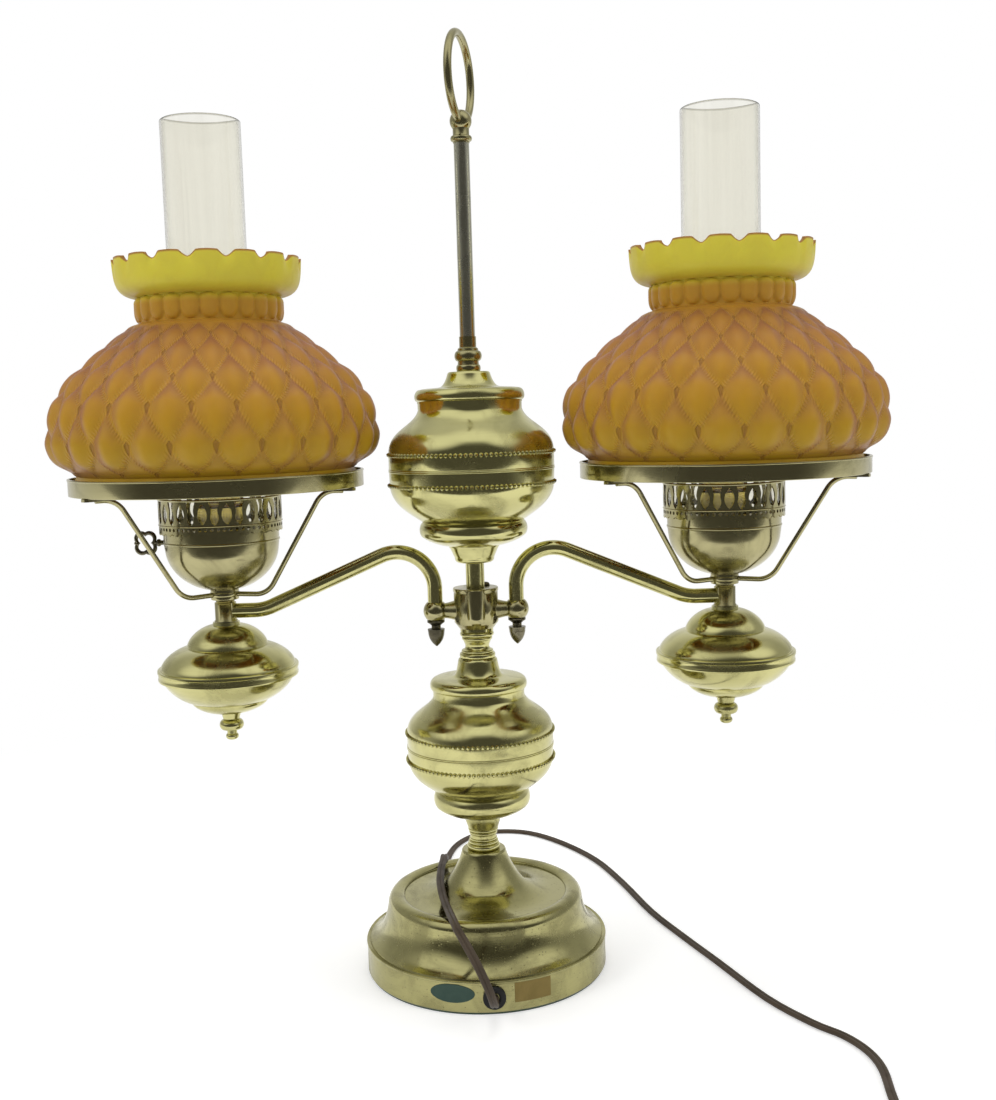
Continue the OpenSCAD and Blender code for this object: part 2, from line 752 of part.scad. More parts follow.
module coupling(side) {
    lip_h = 1.7;
    color(brass)
        at_head(side)
            difference() {
                turned([[coupling_r + 0.5, coupling_z], [coupling_r + 0.5, coupling_z + 1],
                    [coupling_r, coupling_z + 1.4], [coupling_r, coupling_top_z - lip_h - 0.3],
                    [coupling_r - 0.9, coupling_top_z - lip_h],
                    [coupling_r - 0.9, coupling_top_z]], nipple_r + fit);
                translate([0, 0, arm_end_z])
                    rotate([0, -90 * side, 0])
                        cylinder(r = arm_r + fit, h = 2 * coupling_r);
            }
}

module nipple(side) {
    low_z = font_low_z - nipple_depth + play;
    color("darkgoldenrod")
        at_head(side)
            translate([0, 0, low_z])
                difference() {
                    cylinder(r = nipple_r, h = socket_z + socket_grip - play - low_z);
                    translate([0, 0, -1])
                        cylinder(r = 2.6, h = socket_z + socket_grip - low_z + 2);
                    translate([0, 0, arm_end_z - low_z])
                        rotate([0, -90 * side, 0])
                            cylinder(r = 2.2, h = 2 * nipple_r);
                }
}

module font_top(side) {
    z = font_seam_z;
    top_z = coupling_z;
    step = [font_r - 18.5, z + 0.52 * font_top_h];
    color(brass)
        at_head(side)
            spun(concat(
                [[font_r, z], [font_r, z + 0.8], [font_r + 0.5, z + 1.2], [font_r + 0.5, z + 2.6],
                    [font_r - 0.4, z + 3]],
                curve([font_r - 1.4, z + 3.2], [font_r - 2, z + 0.24 * font_top_h],
                    step + [9.5, -1.8], step, 8),
                curve(step + [-0.3, 1.4], step + [-2, 0.22 * font_top_h],
                    [16, top_z - 2.2], [8.8, top_z - 1.8], 8),
                [[8.4, top_z], [nipple_r + play, top_z]]), sheet_t);
}

module font_bottom(side) {
    z = font_seam_z;
    low_z = font_low_z;
    step = [font_r - 20, low_z + 0.29 * font_low_h];
    color(brass)
        at_head(side)
            spun(concat(
                [[nipple_r + play, low_z], [8.5, low_z]],
                curve([8.5, low_z], [15, low_z + 0.4], [step[0] - 2, step[1] - 4], step - [0.2, 1.2], 7),
                curve(step, step + [8, 2.6], [font_r - 5.5, z - 0.4 * font_low_h], [font_r - 2.4, z - 4.4], 8),
                [[font_r + 0.2, z - 3.6], [font_r + 0.2, z - 2.4], [font_r, z - 2], [font_r, z]]), sheet_t);
}

module drop_finial(side) {
    z = font_low_z - drop_h;
    color(brass)
        at_head(side)
            difference() {
                turned(concat(
                    [[0.02, z]],
                    curve([1.5, z], [4.6, z + 0.3], [4.6, z + 0.18 * drop_h], [3.1, z + 0.22 * drop_h], 6),
                    [[3.1, z + 0.33 * drop_h]],
                    bead(5, z + 0.36 * drop_h, 0.36 * drop_h, 2.7, 8),
                    [[5.3, z + 0.76 * drop_h], [6.4, z + drop_h]]), 0);
                translate([0, 0, font_low_z - nipple_depth])
                    cylinder(r = nipple_r + fit, h = nipple_depth + 1);
            }
}

// One sprung wire of the holder, with its flat tab, pointing along +X
module holder_wire() {
    sides = 12;
    line = tidy(concat(
        [[nipple_r + 1.5, wire_z]],
        arc([wire_line_r, wire_z + wire_bend_r], wire_bend_r, 270, 270 + wire_slope, 5),
        arc([tab_r, tab_z - wire_bend_r], wire_bend_r, 90 + wire_slope, 90, 5)));
    polyhedron(round_sections(line, wire_r, sides), bar_faces(len(line), sides));
    translate([tab_r - 1, -tab_w / 2, tab_z - 0.2])
        cube([tab_len + 2, tab_w, wire_r + 0.2]);
}

module holder(side) {
    turn = side < 0 ? left_holder_turn : right_holder_turn;
    color(brass)
        at_head(side)
            difference() {
                union() {
                    turned([[holder_r - 0.5, coupling_top_z], [holder_r, coupling_top_z + 0.5],
                        [holder_r, cup_z - 0.5], [holder_r - 0.5, cup_z]], 0);
                    for (i = [0 : 2])
                        rotate(turn + 120 * i)
                            holder_wire();
                }
                translate([0, 0, coupling_top_z - 1])
                    cylinder(r = nipple_r + fit, h = holder_h + 2);
            }
}

module shade_ring(side) {
    color(brass)
        at_head(side)
            turned([[shade_ring_r, ring_seat_z], [shade_ring_r, ring_seat_z + shade_ring_h - 1],
                [shade_ring_r + 0.4, ring_seat_z + shade_ring_h - 0.6],
                [shade_ring_r, ring_seat_z + shade_ring_h],
                [shade_ring_r - shade_ring_t, ring_seat_z + shade_ring_h],
                [shade_ring_r - shade_ring_t, ring_seat_z + shade_ring_t]],
                shade_ring_r - shade_ring_t - ledge_w);
}

module cup(side) {
    turn = side < 0 ? left_key_turn : right_key_turn;
    sole_r = 10.5;
    color(brass)
        at_head(side)
            difference() {
                spun(concat(
                    [[nipple_r + play, cup_z], [sole_r, cup_z]],
                    curve([sole_r, cup_z], [cup_r - 12, cup_z + 0.08 * cup_h],
                        [cup_r - 2, cup_z + 0.36 * cup_h],
                        [cup_r - 0.8, cup_z + 0.64 * cup_h], 12),
                    [[cup_r, cup_z + 0.8 * cup_h], [cup_r, cup_top_z]]), sheet_t);
                rotate(turn)
                    translate([0, 0, key_z])
                        rotate([0, 90, 0])
                            cylinder(r = key_r + play, h = 2 * cup_r);
            }
}

module socket(side) {
    turn = side < 0 ? left_key_turn : right_key_turn;
    flange = 1.8;
    color("goldenrod")
        at_head(side)
            difference() {
                rotate_extrude()
                    polygon([[0, socket_z + socket_grip], [nipple_r + fit, socket_z + socket_grip],
                        [nipple_r + fit, socket_z], [nipple_r + 5, socket_z], [socket_r - 1, socket_z + 6],
                        [socket_r, socket_z + 8], [socket_r, socket_top_z - 2],
                        [socket_r + flange, socket_top_z - 1.6],
                        [socket_r + flange, socket_top_z], [bulb_base_r + play, socket_top_z],
                        [bulb_base_r + play, bulb_floor_z], [0, bulb_floor_z]]);
                rotate(turn)
                    translate([key_bore_r, 0, key_z])
                        rotate([0, 90, 0])
                            cylinder(r = key_r + fit, h = 2 * socket_r);
            }
}

// Turn key: a stem with an open bow of four lobes and a knob
module key(side) {
    turn = side < 0 ? left_key_turn : right_key_turn;
    bow_t = 2.4;
    lobe_r = 4.9;
    lobe_bore_r = 2.3;
    spread = [key_bow_r - lobe_r, key_bow_r - lobe_r + 0.5];
    color(dark_brass)
        at_head(side)
            rotate(turn)
                translate([0, 0, key_z]) {
                    translate([key_bore_r + play, 0, 0])
                        rotate([0, 90, 0])
                            cylinder(r = key_r, h = key_bow_x - key_bore_r);
                    translate([key_bow_x - 3, 0, 0])
                        rotate([0, 90, 0])
                            cylinder(r = key_r + 0.8, h = 2.4);
                    rotate([90, 0, 0])
                        linear_extrude(bow_t, center = true)
                            translate([key_bow_x + key_bow_r - 0.8, 0])
                                difference() {
                                    union() {
                                        for (x = [-1, 1])
                                            for (y = [-1, 1])
                                                translate([x * spread[0], y * spread[1]])
                                                    circle(lobe_r);
                                        translate([key_bow_r + 0.2, 0])
                                            circle(1.3);
                                    }
                                    hull()
                                        for (x = [-1, 1])
                                            for (y = [-1, 1])
                                                translate([x * spread[0], y * spread[1]])
                                                    circle(lobe_bore_r);
                                }
                }
}

// Pointed oval of width w and height h
module lens_2d(w, h) {
    r = (w * w + h * h) / (4 * w);
    intersection() {
        translate([r - w / 2, 0])
            circle(r);
        translate([w / 2 - r, 0])
            circle(r);
    }
}

module gallery(side) {
    pitch = 360 / gallery_n;
    low_z = cup_top_z - gallery_skirt;
    top_z = cup_top_z + gallery_h;
    lens_h = 0.66 * gallery_h;
    lens_w = 1.3 * PI * gallery_r / gallery_n;
    floor_r = socket_r + 8;
    color(brass)
        at_head(side)
            difference() {
                rotate_extrude()
                    polygon([[gallery_r, low_z], [gallery_r, cup_top_z + 3], [gallery_r - 1, cup_top_z + 6],
                        [gallery_r - 1, top_z], [gallery_r - 1 - gallery_t, top_z],
                        [gallery_r - 1 - gallery_t, cup_top_z + 6],
                        [gallery_r - 1.2 - gallery_t * 0.2, cup_top_z + 3],
                        [gallery_r - 1.2, gallery_floor_z], [floor_r, gallery_floor_z], [floor_r, cup_top_z],
                        [gallery_r - 1.2, cup_top_z], [gallery_r - 1.2, low_z]]);
                for (i = [0 : gallery_n - 1])
                    rotate(pitch * i)
                        translate([gallery_r - 4, 0, cup_top_z + 0.58 * gallery_h])
                            rotate([90, 0, 90])
                                linear_extrude(8)
                                    lens_2d(lens_w, lens_h);
                for (i = [0 : 2 * gallery_n - 1])
                    rotate(pitch * (i + 0.5) / 2)
                        translate([gallery_r - 4, 0, low_z - 0.6])
                            rotate([0, 90, 0])
                                cylinder(r = 2.2, h = 8);
            }
}

// Glass

module bulb(side) {
    base_z = bulb_floor_z + play;
    glass_z = base_z + bulb_base_h;
    color("white")
        at_head(side)
            spun(concat(
                [[4, base_z], [bulb_base_r, base_z + 4], [bulb_base_r, glass_z]],
                curve([bulb_base_r, glass_z], [bulb_base_r, glass_z + 0.14 * bulb_h],
                    [bulb_r, glass_z + 0.18 * bulb_h], [bulb_r, glass_z + 0.4 * bulb_h], 8),
                curve([bulb_r, glass_z + 0.4 * bulb_h], [bulb_r, glass_z + 0.72 * bulb_h],
                    [0.5 * bulb_r, glass_z + bulb_h], [2, glass_z + bulb_h], 10),
                [[0.02, glass_z + bulb_h]]), bulb_t);
}

module chimney(side) {
    foot_h = 12;
    shoulder_z = chimney_z + 36;
    tube_z = chimney_z + 92;
    color("whitesmoke", 0.4)
        at_head(side)
            spun(concat(
                [[chimney_foot_r, chimney_z], [chimney_foot_r, chimney_z + foot_h]],
                curve([chimney_foot_r, chimney_z + foot_h], [chimney_foot_r, chimney_z + 24],
                    [chimney_foot_r - 1, shoulder_z - 6], [chimney_foot_r - 3, shoulder_z], 6),
                curve([chimney_foot_r - 3, shoulder_z], [chimney_foot_r - 9, shoulder_z + 18],
                    [chimney_r, tube_z - 24], [chimney_r, tube_z], 10),
                [[chimney_r, chimney_z + chimney_h]]), chimney_t);
}

// Outer line of the shade: fitter, bulging body, beaded neck and flared collar
function shade_line() = let (
        z = shade_z,
        foot = [fitter_r, ring_seat_z + shade_ring_h + play],
        belly = [shade_r, z + 0.34 * shade_body_h],
        neck = [shade_neck_r, shade_neck_z],
        rim = [shade_rim_r, shade_rim_z],
        h = shade_collar_h)
    concat(
        [[fitter_r, z], foot],
        curve(foot, foot + [6, 1.6], belly - [0, 14], belly, 10),
        curve(belly, belly + [0, 0.27 * shade_body_h], [0.8 * shade_r, z + 0.76 * shade_body_h],
            [shade_neck_r + 14, z + 0.945 * shade_body_h], 14),
        curve([shade_neck_r + 14, z + 0.945 * shade_body_h], neck + [5, -2], neck + [0, -4], neck, 6),
        bead(shade_neck_r, shade_neck_z + 0.06 * h, 0.36 * h, 2.4, 8),
        curve([shade_neck_r + 0.2, shade_neck_z + 0.43 * h], [shade_neck_r + 6.5, shade_neck_z + 0.47 * h],
            rim + [-0.8, -0.35 * h], rim, 8));

module shade(side) {
    notch_r = 0.55 * PI * shade_rim_r / scallop_n;
    notch_depth = 0.65 * notch_r;
    color("goldenrod", 0.9)
        at_head(side)
            difference() {
                spun(shade_line(), shade_t);
                for (i = [0 : scallop_n - 1])
                    rotate(360 / scallop_n * i)
                        translate([shade_rim_r - 14, 0, shade_rim_z + notch_r - notch_depth])
                            rotate([0, 90, 0])
                                cylinder(r = notch_r, h = 24);
            }
}

// Upper column

module upper_vase_seat() {
    color(brass)
        turned(concat(
            curve([tube_r + 3, seat_z], [tube_r + 5.5, seat_z],
                [tube_r + 7, seat_z + 1], [tube_r + 7.2, seat_z + 2.5], 5),
            curve([tube_r + 7.3, seat_z + 3.5], [tube_r + 8.4, seat_z + 0.5 * seat_h],
                [tube_r + 9.4, upper_z - 2.5], [tube_r + 11, upper_z - 0.4], 5),
            [[tube_r + 11, upper_z]]), tube_r + fit);
}

module upper_vase_bottom() {
    color(brass)
        spun(vase_low(upper_z, tube_r + fit, tube_r + 11,
            upper_foot_r, upper_foot_h, upper_r, upper_bowl_h), sheet_t);
}

module upper_vase_top() {
    color(brass)
        spun(vase_high(upper_seam_z, upper_r, upper_neck_r, upper_dome_h), sheet_t);
}

module upper_vase_cap() {
    color(brass)
        spun(vase_lid(upper_neck_z, tube_r + fit, upper_neck_r,
            upper_rim_h, upper_neck_r - 14, 13.4, upper_cap_h), sheet_t);
}

module rod_collar() {
    z = upper_cap_z;
    color(brass)
        difference() {
            turned(concat(
                bead(6.8, z, 0.2 * collar_h, 0.9),
                [[6.6, z + 0.26 * collar_h]],
                bead(6.6, z + 0.3 * collar_h, 0.3 * collar_h, 2, 8),
                [[6.4, z + 0.66 * collar_h], [rod_r + 0.5, z + 0.7 * collar_h], [rod_r + 0.5, rod_z]]), 0);
            translate([0, 0, z - 1])
                cylinder(r = tube_r + fit, h = stud_h + 1 + play);
            translate([0, 0, rod_z - stud_h])
                cylinder(r = stud_r + fit, h = stud_h + 1);
        }
}

module carry_rod() {
    color(dark_brass) {
        translate([0, 0, rod_z])
            cylinder(r = rod_r, h = rod_len);
        translate([0, 0, rod_z - stud_h + play])
            cylinder(r = stud_r, h = rod_len + 2 * (stud_h - play) - 2);
    }
}

module ring_finial() {
    z = rod_top_z;
    color(brass)
        difference() {
            union() {
                turned(concat(
                    [[rod_r + 0.3, z], [rod_r + 0.3, z + 0.8]],
                    bead(rod_r + 0.6, z + 1, 3.4, 1.3),
                    [[rod_r + 0.3, z + 5], [rod_r + 0.3, z + finial_stem_h + 1]]), 0);
                translate([0, 0, finial_ball_z])
                    sphere(r = finial_r);
            }
            translate([0, 0, z - 1])
                cylinder(r = stud_r + fit, h = stud_h - 1);
            ring_shape(ring_wire_r + fit);
        }
}

module ring_shape(r) {
    translate([0, 0, ring_z])
        rotate([90, 0, ring_turn])
            rotate_extrude()
                translate([ring_r, 0])
                    circle(r);
}

module ring_handle() {
    color(brass)
        ring_shape(ring_wire_r);
}

// Cord

// Point and lean on a smooth line through four neighbours
function smooth(a, b, c, d, t) =
    (2 * b + (c - a) * t + (2 * a - 5 * b + 4 * c - d) * t * t + (3 * b - a - 3 * c + d) * t * t * t) / 2;

function through(p, n) = let (
        last = len(p) - 1,
        q = concat([2 * p[0] - p[1]], p, [2 * p[last] - p[last - 1]]))
    concat(
        [for (i = [1 : last]) for (k = [0 : n - 1]) smooth(q[i - 1], q[i], q[i + 1], q[i + 2], k / n)],
        [p[last]]);

function place(p) = [p[0], p[1], p[2]];

// Corners of the flat cord's section, half width w and half thickness h
function flat_section(w, h, sides) = sides == 8
    ? [[w, -0.4 * h], [w, 0.4 * h], [w - 0.7 * h, h], [0.7 * h - w, h], [-w, 0.4 * h], [-w, -0.4 * h],
        [0.7 * h - w, -h], [w - 0.7 * h, -h]]
    : [[w, 0], [w - 0.6 * h, h], [0.6 * h - w, h], [-w, 0], [0.6 * h - w, -h], [w - 0.6 * h, -h]];

// Corners of the section set square to the line at its point i
function section_at(p, i, corners) = let (
        last = len(p) - 1,
        along = unit(place(p[min(i + 1, last)]) - place(p[max(i - 1, 0)])),
        over = [0, -sin(p[i][3]), -cos(p[i][3])],
        across = unit(cross(along, over)),
        up = cross(across, along))
    [for (c = corners) place(p[i]) + c[0] * across + c[1] * up];

module swept(p, sides) {
    corners = flat_section(cord_w / 2, cord_t / 2, sides);
    polyhedron([for (i = [0 : len(p) - 1]) each section_at(p, i, corners)], bar_faces(len(p), sides));
}

// The coil winds in on the lower layer, climbs in the half turn where it reverses, and winds out on top
function coil_point(turn) = let (
        half = coil_turns / 2,
        r = coil_r - coil_pitch * (half - abs(turn - half)),
        climb = min(1, max(0, 2 * (turn - half) + 0.5)),
        eased = climb * climb * (3 - 2 * climb),
        a = -360 * turn)
    [coil_x + r * cos(a), coil_y + r * sin(a), coil_low_z + coil_layer * eased, 180];

coil_line = [for (i = [0 : coil_turns * coil_rings]) coil_point(i / coil_rings)];
coil_end = coil_line[len(coil_line) - 1];
plug_x = coil_end[0] - tail_len;
tail_line = [for (i = [1 : tail_rings])
    [coil_end[0] - tail_len * i / tail_rings, coil_end[1], coil_end[2], 180]];

// Least distance between corners of turns that lie beside or over each other
coil_corners = flat_section(cord_w / 2, cord_t / 2, 6);
coil_sections = [for (i = [0 : len(coil_line) - 1]) section_at(coil_line, i, coil_corners)];
coil_near = [
    for (i = [0 : len(coil_line) - 1])
        for (j = [i + coil_rings / 2 : len(coil_line) - 1])
            if (norm(place(coil_line[i]) - place(coil_line[j])) < 3 * cord_w)
                min([for (a = coil_sections[i]) for (b = coil_sections[j]) norm(a - b)])];
echo(coil_gap_to_itself = min(coil_near));

module cord_lead() {
    color("saddlebrown")
        swept(through(cord_route, cord_steps), 8);
}

module cord_coil() {
    color("saddlebrown")
        swept(concat(coil_line, tail_line), 6);
}

module cord_tie() {
    mid_r = coil_r - coil_pitch * coil_turns / 4;
    inner_w = coil_pitch * coil_turns / 2 + cord_w + 2 * play;
    low_z = coil_low_z - cord_t / 2 - play;
    high_z = coil_low_z + coil_layer + cord_t / 2 + play;
    color("black")
        translate([coil_x, coil_y, 0])
            rotate(tie_turn)
                translate([mid_r, tie_w / 2, (low_z + high_z) / 2])
                    rotate([90, 0, 0])
                        linear_extrude(tie_w)
                            difference() {
                                square([inner_w + 2 * tie_t, high_z - low_z + 2 * tie_t], center = true);
                                square([inner_w, high_z - low_z], center = true);
                            }
}

module plug() {
    z = coil_end[2];
    color("saddlebrown")
        translate([plug_x, coil_end[1], z]) {
            rotate([0, -90, 0])
                linear_extrude(plug_len)
                    difference() {
                        square([plug_t, plug_w], center = true);
                        for (sx = [-1, 1])
                            for (sy = [-1, 1])
                                translate([sx * plug_t / 2, sy * plug_w / 2])
                                    rotate(45)
                                        square(3, center = true);
                    }
            for (side = [-1, 1])
                translate([-plug_len - blade_len, side * blade_gap / 2 - 0.75, -3.2])
                    cube([blade_len + 1, 1.5, 6.4]);
        }
}

base_felt();
base_weight();
base_skirt();
base_cone();
base_locknut();
cord_bushing();
stem_rod();
base_neck();
lower_vase_bottom();
lower_vase_top();
lower_vase_cap();
hub_neck();
hub();
hub_screw();
stem_tube();
upper_vase_seat();
upper_vase_bottom();
upper_vase_top();
upper_vase_cap();
rod_collar();
carry_rod();
ring_finial();
ring_handle();
arm(-1);  // left_arm
acorn_nut(-1);  // left_acorn_nut
coupling(-1);  // left_coupling
nipple(-1);  // left_nipple
font_top(-1);  // left_font_top
font_bottom(-1);  // left_font_bottom
drop_finial(-1);  // left_drop_finial
holder(-1);  // left_holder
shade_ring(-1);  // left_shade_ring
cup(-1);  // left_cup
socket(-1);  // left_socket
key(-1);  // left_key
gallery(-1);  // left_gallery
bulb(-1);  // left_bulb
chimney(-1);  // left_chimney
shade(-1);  // left_shade
arm(1);  // right_arm
acorn_nut(1);  // right_acorn_nut
coupling(1);  // right_coupling
nipple(1);  // right_nipple
font_top(1);  // right_font_top
font_bottom(1);  // right_font_bottom
drop_finial(1);  // right_drop_finial
holder(1);  // right_holder
shade_ring(1);  // right_shade_ring
cup(1);  // right_cup
socket(1);  // right_socket
key(1);  // right_key
gallery(1);  // right_gallery
bulb(1);  // right_bulb
chimney(1);  // right_chimney
shade(1);  // right_shade
cord_lead();
cord_coil();
cord_tie();
plug();
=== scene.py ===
"""Twin-arm brass student lamp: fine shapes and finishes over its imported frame."""

import logging
import math
from dataclasses import dataclass
from enum import Enum
from typing import Sequence

import bmesh
import bpy
from mathutils import Matrix, Vector


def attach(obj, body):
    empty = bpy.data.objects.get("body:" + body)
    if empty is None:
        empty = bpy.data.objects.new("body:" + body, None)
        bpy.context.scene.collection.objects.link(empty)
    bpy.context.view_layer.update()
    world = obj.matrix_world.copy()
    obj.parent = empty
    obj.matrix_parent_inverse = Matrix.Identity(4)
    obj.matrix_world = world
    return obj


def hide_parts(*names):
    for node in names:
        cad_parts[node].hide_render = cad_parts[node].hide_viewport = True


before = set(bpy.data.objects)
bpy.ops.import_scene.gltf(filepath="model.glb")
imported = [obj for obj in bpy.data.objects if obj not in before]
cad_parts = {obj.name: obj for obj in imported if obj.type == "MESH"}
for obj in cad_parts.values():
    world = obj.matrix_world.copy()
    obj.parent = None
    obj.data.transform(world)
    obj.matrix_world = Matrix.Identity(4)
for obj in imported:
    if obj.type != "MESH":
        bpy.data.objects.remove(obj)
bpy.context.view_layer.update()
LOG = logging.getLogger("student_lamp")

MM = 0.001
WELD = 2e-6
HEAD_X = 160.0
STEM_HOLE = 5.4
SHEET = 1.2
ACROSS = Vector((0, 1, 0))
Point = tuple[float, float]
Line = list[Point]
Triple = tuple[float, float, float]
Colour = Triple
Mesh = bmesh.types.BMesh
Material = bpy.types.Material


class Side(Enum):
    """The two lamp heads, by the sign of their X."""

    LEFT = -1
    RIGHT = 1

    @property
    def word(self) -> str:
        """Name of the side as the nodes have it."""
        return self.name.lower()

    @property
    def at(self) -> float:
        """Place of the side's head along X, in millimetres."""
        return self.value * HEAD_X


# Lines of turned sections, in millimetres of radius and height


def curve(a: Point, b: Point, c: Point, d: Point, steps: int = 14) -> Line:
    """Points of a cubic curve.

    Args:
        a: First end.
        b: Handle of the first end.
        c: Handle of the last end.
        d: Last end.
        steps: Number of pieces.

    Returns:
        The points, both ends included.
    """
    out = []
    for i in range(steps + 1):
        t = i / steps
        k = ((1 - t) ** 3, 3 * (1 - t) ** 2 * t, 3 * (1 - t) * t * t, t**3)
        out.append(tuple(sum(w * p[j] for w, p in zip(k, (a, b, c, d))) for j in (0, 1)))
    return out


def bead(r: float, z: float, h: float, bulge: float, steps: int = 10) -> Line:
    """Points of a half-round bead of height h, from its foot at r and z, that stands out by bulge."""
    turns = [math.pi * i / steps for i in range(steps + 1)]
    return [(r + bulge * math.sin(t), z + h * (1 - math.cos(t)) / 2) for t in turns]


def arc(centre: Point, r: float, start: float, end: float, steps: int) -> Line:
    """Points of an arc from one angle to another, in degrees, both ends included."""
    turns = [math.radians(start + (end - start) * i / steps) for i in range(steps + 1)]
    return [(centre[0] + r * math.cos(t), centre[1] + r * math.sin(t)) for t in turns]


def join(*parts: Sequence[Point]) -> Line:
    """One line from several, without repeated points.

    Args:
        parts: The lines in order.

    Returns:
        The joined line.
    """
    out: Line = []
    for p in (p for part in parts for p in part):
        if not out or math.dist(p, out[-1]) > 0.02:
            out.append((float(p[0]), float(p[1])))
    return out


def walled(line: Line, wall: float = SHEET) -> Line:
    """Closed section of a sheet wall behind an outer line that runs upwards.

    Args:
        line: The outer line.
        wall: Thickness of the sheet.

    Returns:
        The outer line, and the inner line back to its start.
    """
    inner = []
    for i, p in enumerate(line):
        before, after = line[max(i - 1, 0)], line[min(i + 1, len(line) - 1)]
        d = Vector((after[0] - before[0], after[1] - before[1])).normalized()
        inner.append((max(p[0] - wall * d.y, 0.02), p[1] + wall * d.x))
    return line + inner[::-1]


# Meshes


def shift(bm: Mesh, x: float = 0.0, y: float = 0.0) -> Mesh:
    """Move a whole mesh by millimetres, and hand it back."""
    bmesh.ops.translate(bm, vec=(x * MM, y * MM, 0), verts=bm.verts[:])
    return bm


def lathe(line: Line, steps: int = 112, closed: bool = False, x: float = 0.0) -> Mesh:
    """Spin a section round an upright axis.

    Args:
        line: The section, in millimetres.
        steps: Pieces of the full turn.
        closed: Whether the section's last point joins its first.
        x: Place of the axis along X, in millimetres.

    Returns:
        The turned shape, with its normals outwards.
    """
    bm = bmesh.new()
    verts = [bm.verts.new((r * MM, 0, z * MM)) for r, z in line]
    pairs = list(zip(verts, verts[1:])) + ([(verts[-1], verts[0])] if closed else [])
    geom = verts + [bm.edges.new(pair) for pair in pairs]
    bmesh.ops.spin(bm, geom=geom, cent=(0, 0, 0), axis=(0, 0, 1), angle=math.tau, steps=steps, use_merge=True)
    bmesh.ops.remove_doubles(bm, verts=bm.verts[:], dist=WELD)
    shift(bm, x)
    bmesh.ops.recalc_face_normals(bm, faces=bm.faces[:])
    return bm


def placed(x: Vector, y: Vector, z: Vector, point: Vector) -> Matrix:
    """Matrix that sets the three axes at a point."""
    return Matrix.Translation(point) @ Matrix((x, y, z)).transposed().to_4x4()


def frames_of(path: Sequence[Vector], over: Sequence[Vector]) -> list[Matrix]:
    """Places of a section along a path.

    Args:
        path: Points of the path, in metres.
        over: Direction that each section's second axis leans to.

    Returns:
        A matrix for each point: across, up, along and the point.
    """
    out = []
    for i, p in enumerate(path):
        along = (path[min(i + 1, len(path) - 1)] - path[max(i - 1, 0)]).normalized()
        across = along.cross(over[i]).normalized()
        out.append(placed(across, across.cross(along), along, p))
    return out


def sweep(section: Line, places: Sequence[Matrix], closed: bool = False) -> Mesh:
    """Carry a closed section along a row of places.

    Args:
        section: Corners of the section, in metres.
        places: Matrices that set it.
        closed: Whether the last place joins the first.

    Returns:
        The swept shape, with caps unless it is closed.
    """
    bm = bmesh.new()
    first = [bm.verts.new(places[0] @ Vector((a, b, 0))) for a, b in section]
    edges = [bm.edges.new((v, first[i - 1])) for i, v in enumerate(first)]
    start = edges
    for before, after in zip(places, places[1:]):
        made = bmesh.ops.extrude_edge_only(bm, edges=edges)["geom"]
        edges = [g for g in made if isinstance(g, bmesh.types.BMEdge) and g.is_boundary]
        verts = [g for g in made if isinstance(g, bmesh.types.BMVert)]
        bmesh.ops.transform(bm, matrix=after @ before.inverted(), verts=verts)
    if closed:
        bmesh.ops.bridge_loops(bm, edges=start + edges)
    else:
        bmesh.ops.contextual_create(bm, geom=start)
        bmesh.ops.contextual_create(bm, geom=edges)
    bmesh.ops.recalc_face_normals(bm, faces=bm.faces[:])
    return bm


def circle(r: float, sides: int) -> Line:
    """Corners of a round section, in metres, of a radius in millimetres."""
    turns = [math.tau * k / sides for k in range(sides)]
    return [(r * MM * math.cos(t), r * MM * math.sin(t)) for t in turns]


def bent_tube(line: Line, r: float, sides: int, sign: int = 1) -> Mesh:
    """Sweep a round bar along a line in the XZ plane, mirrored in X by the sign."""
    path = [Vector((sign * x * MM, 0, z * MM)) for x, z in line]
    return sweep(circle(r, sides), frames_of(path, [ACROSS] * len(path)))


def wire_ring(line: Sequence[Vector], r: float, sides: int) -> Mesh:
    """Sweep a round wire along a flat closed line.

    Args:
        line: Points, in metres.
        r: Radius of the wire, in millimetres.
        sides: Corners of its section.

    Returns:
        The ring.
    """
    span = max(line, key=lambda p: (p - line[0]).length) - line[0]
    flat = span.cross(line[len(line) // 3] - line[0]).normalized()
    middle = sum(line, Vector()) / len(line)
    places = []
    for p in line:
        out = (p - middle).normalized()
        places.append(placed(out, flat, out.cross(flat), p))
    return sweep(circle(r, sides), places, closed=True)


def ring_of(bm: Mesh, count: int) -> Mesh:
    """Repeat a shape evenly round the upright axis.

    Args:
        bm: The shape in its first place.
        count: Number of copies.

    Returns:
        The same mesh with its copies.
    """
    whole = bm.verts[:] + bm.edges[:] + bm.faces[:]
    turn, steps = math.tau * (count - 1) / count, count - 1
    bmesh.ops.spin(bm, geom=whole, cent=(0, 0, 0), axis=(0, 0, 1), angle=turn, steps=steps, use_duplicate=True)
    return bm


def bead_row(r: float, z: float, size: float, count: int) -> Mesh:
    """A row of small round beads, with their middles at r and z.

    Args:
        r: Radius that they stand at, in millimetres.
        z: Height, in millimetres.
        size: Radius of a bead, in millimetres.
        count: Number of beads.

    Returns:
        The row.
    """
    bm = bmesh.new()
    place = Matrix.Translation((r * MM, 0, z * MM))
    bmesh.ops.create_icosphere(bm, subdivisions=1, radius=size * MM, matrix=place)
    return ring_of(bm, count)


def box(bm: Mesh, middle: Sequence[float], size: Sequence[float]) -> None:
    """Add a box to a mesh, by its middle and its sides in millimetres."""
    place = Matrix.Translation(Vector(middle) * MM) @ Matrix.Diagonal((*(s * MM for s in size), 1))
    bmesh.ops.create_cube(bm, size=1, matrix=place)


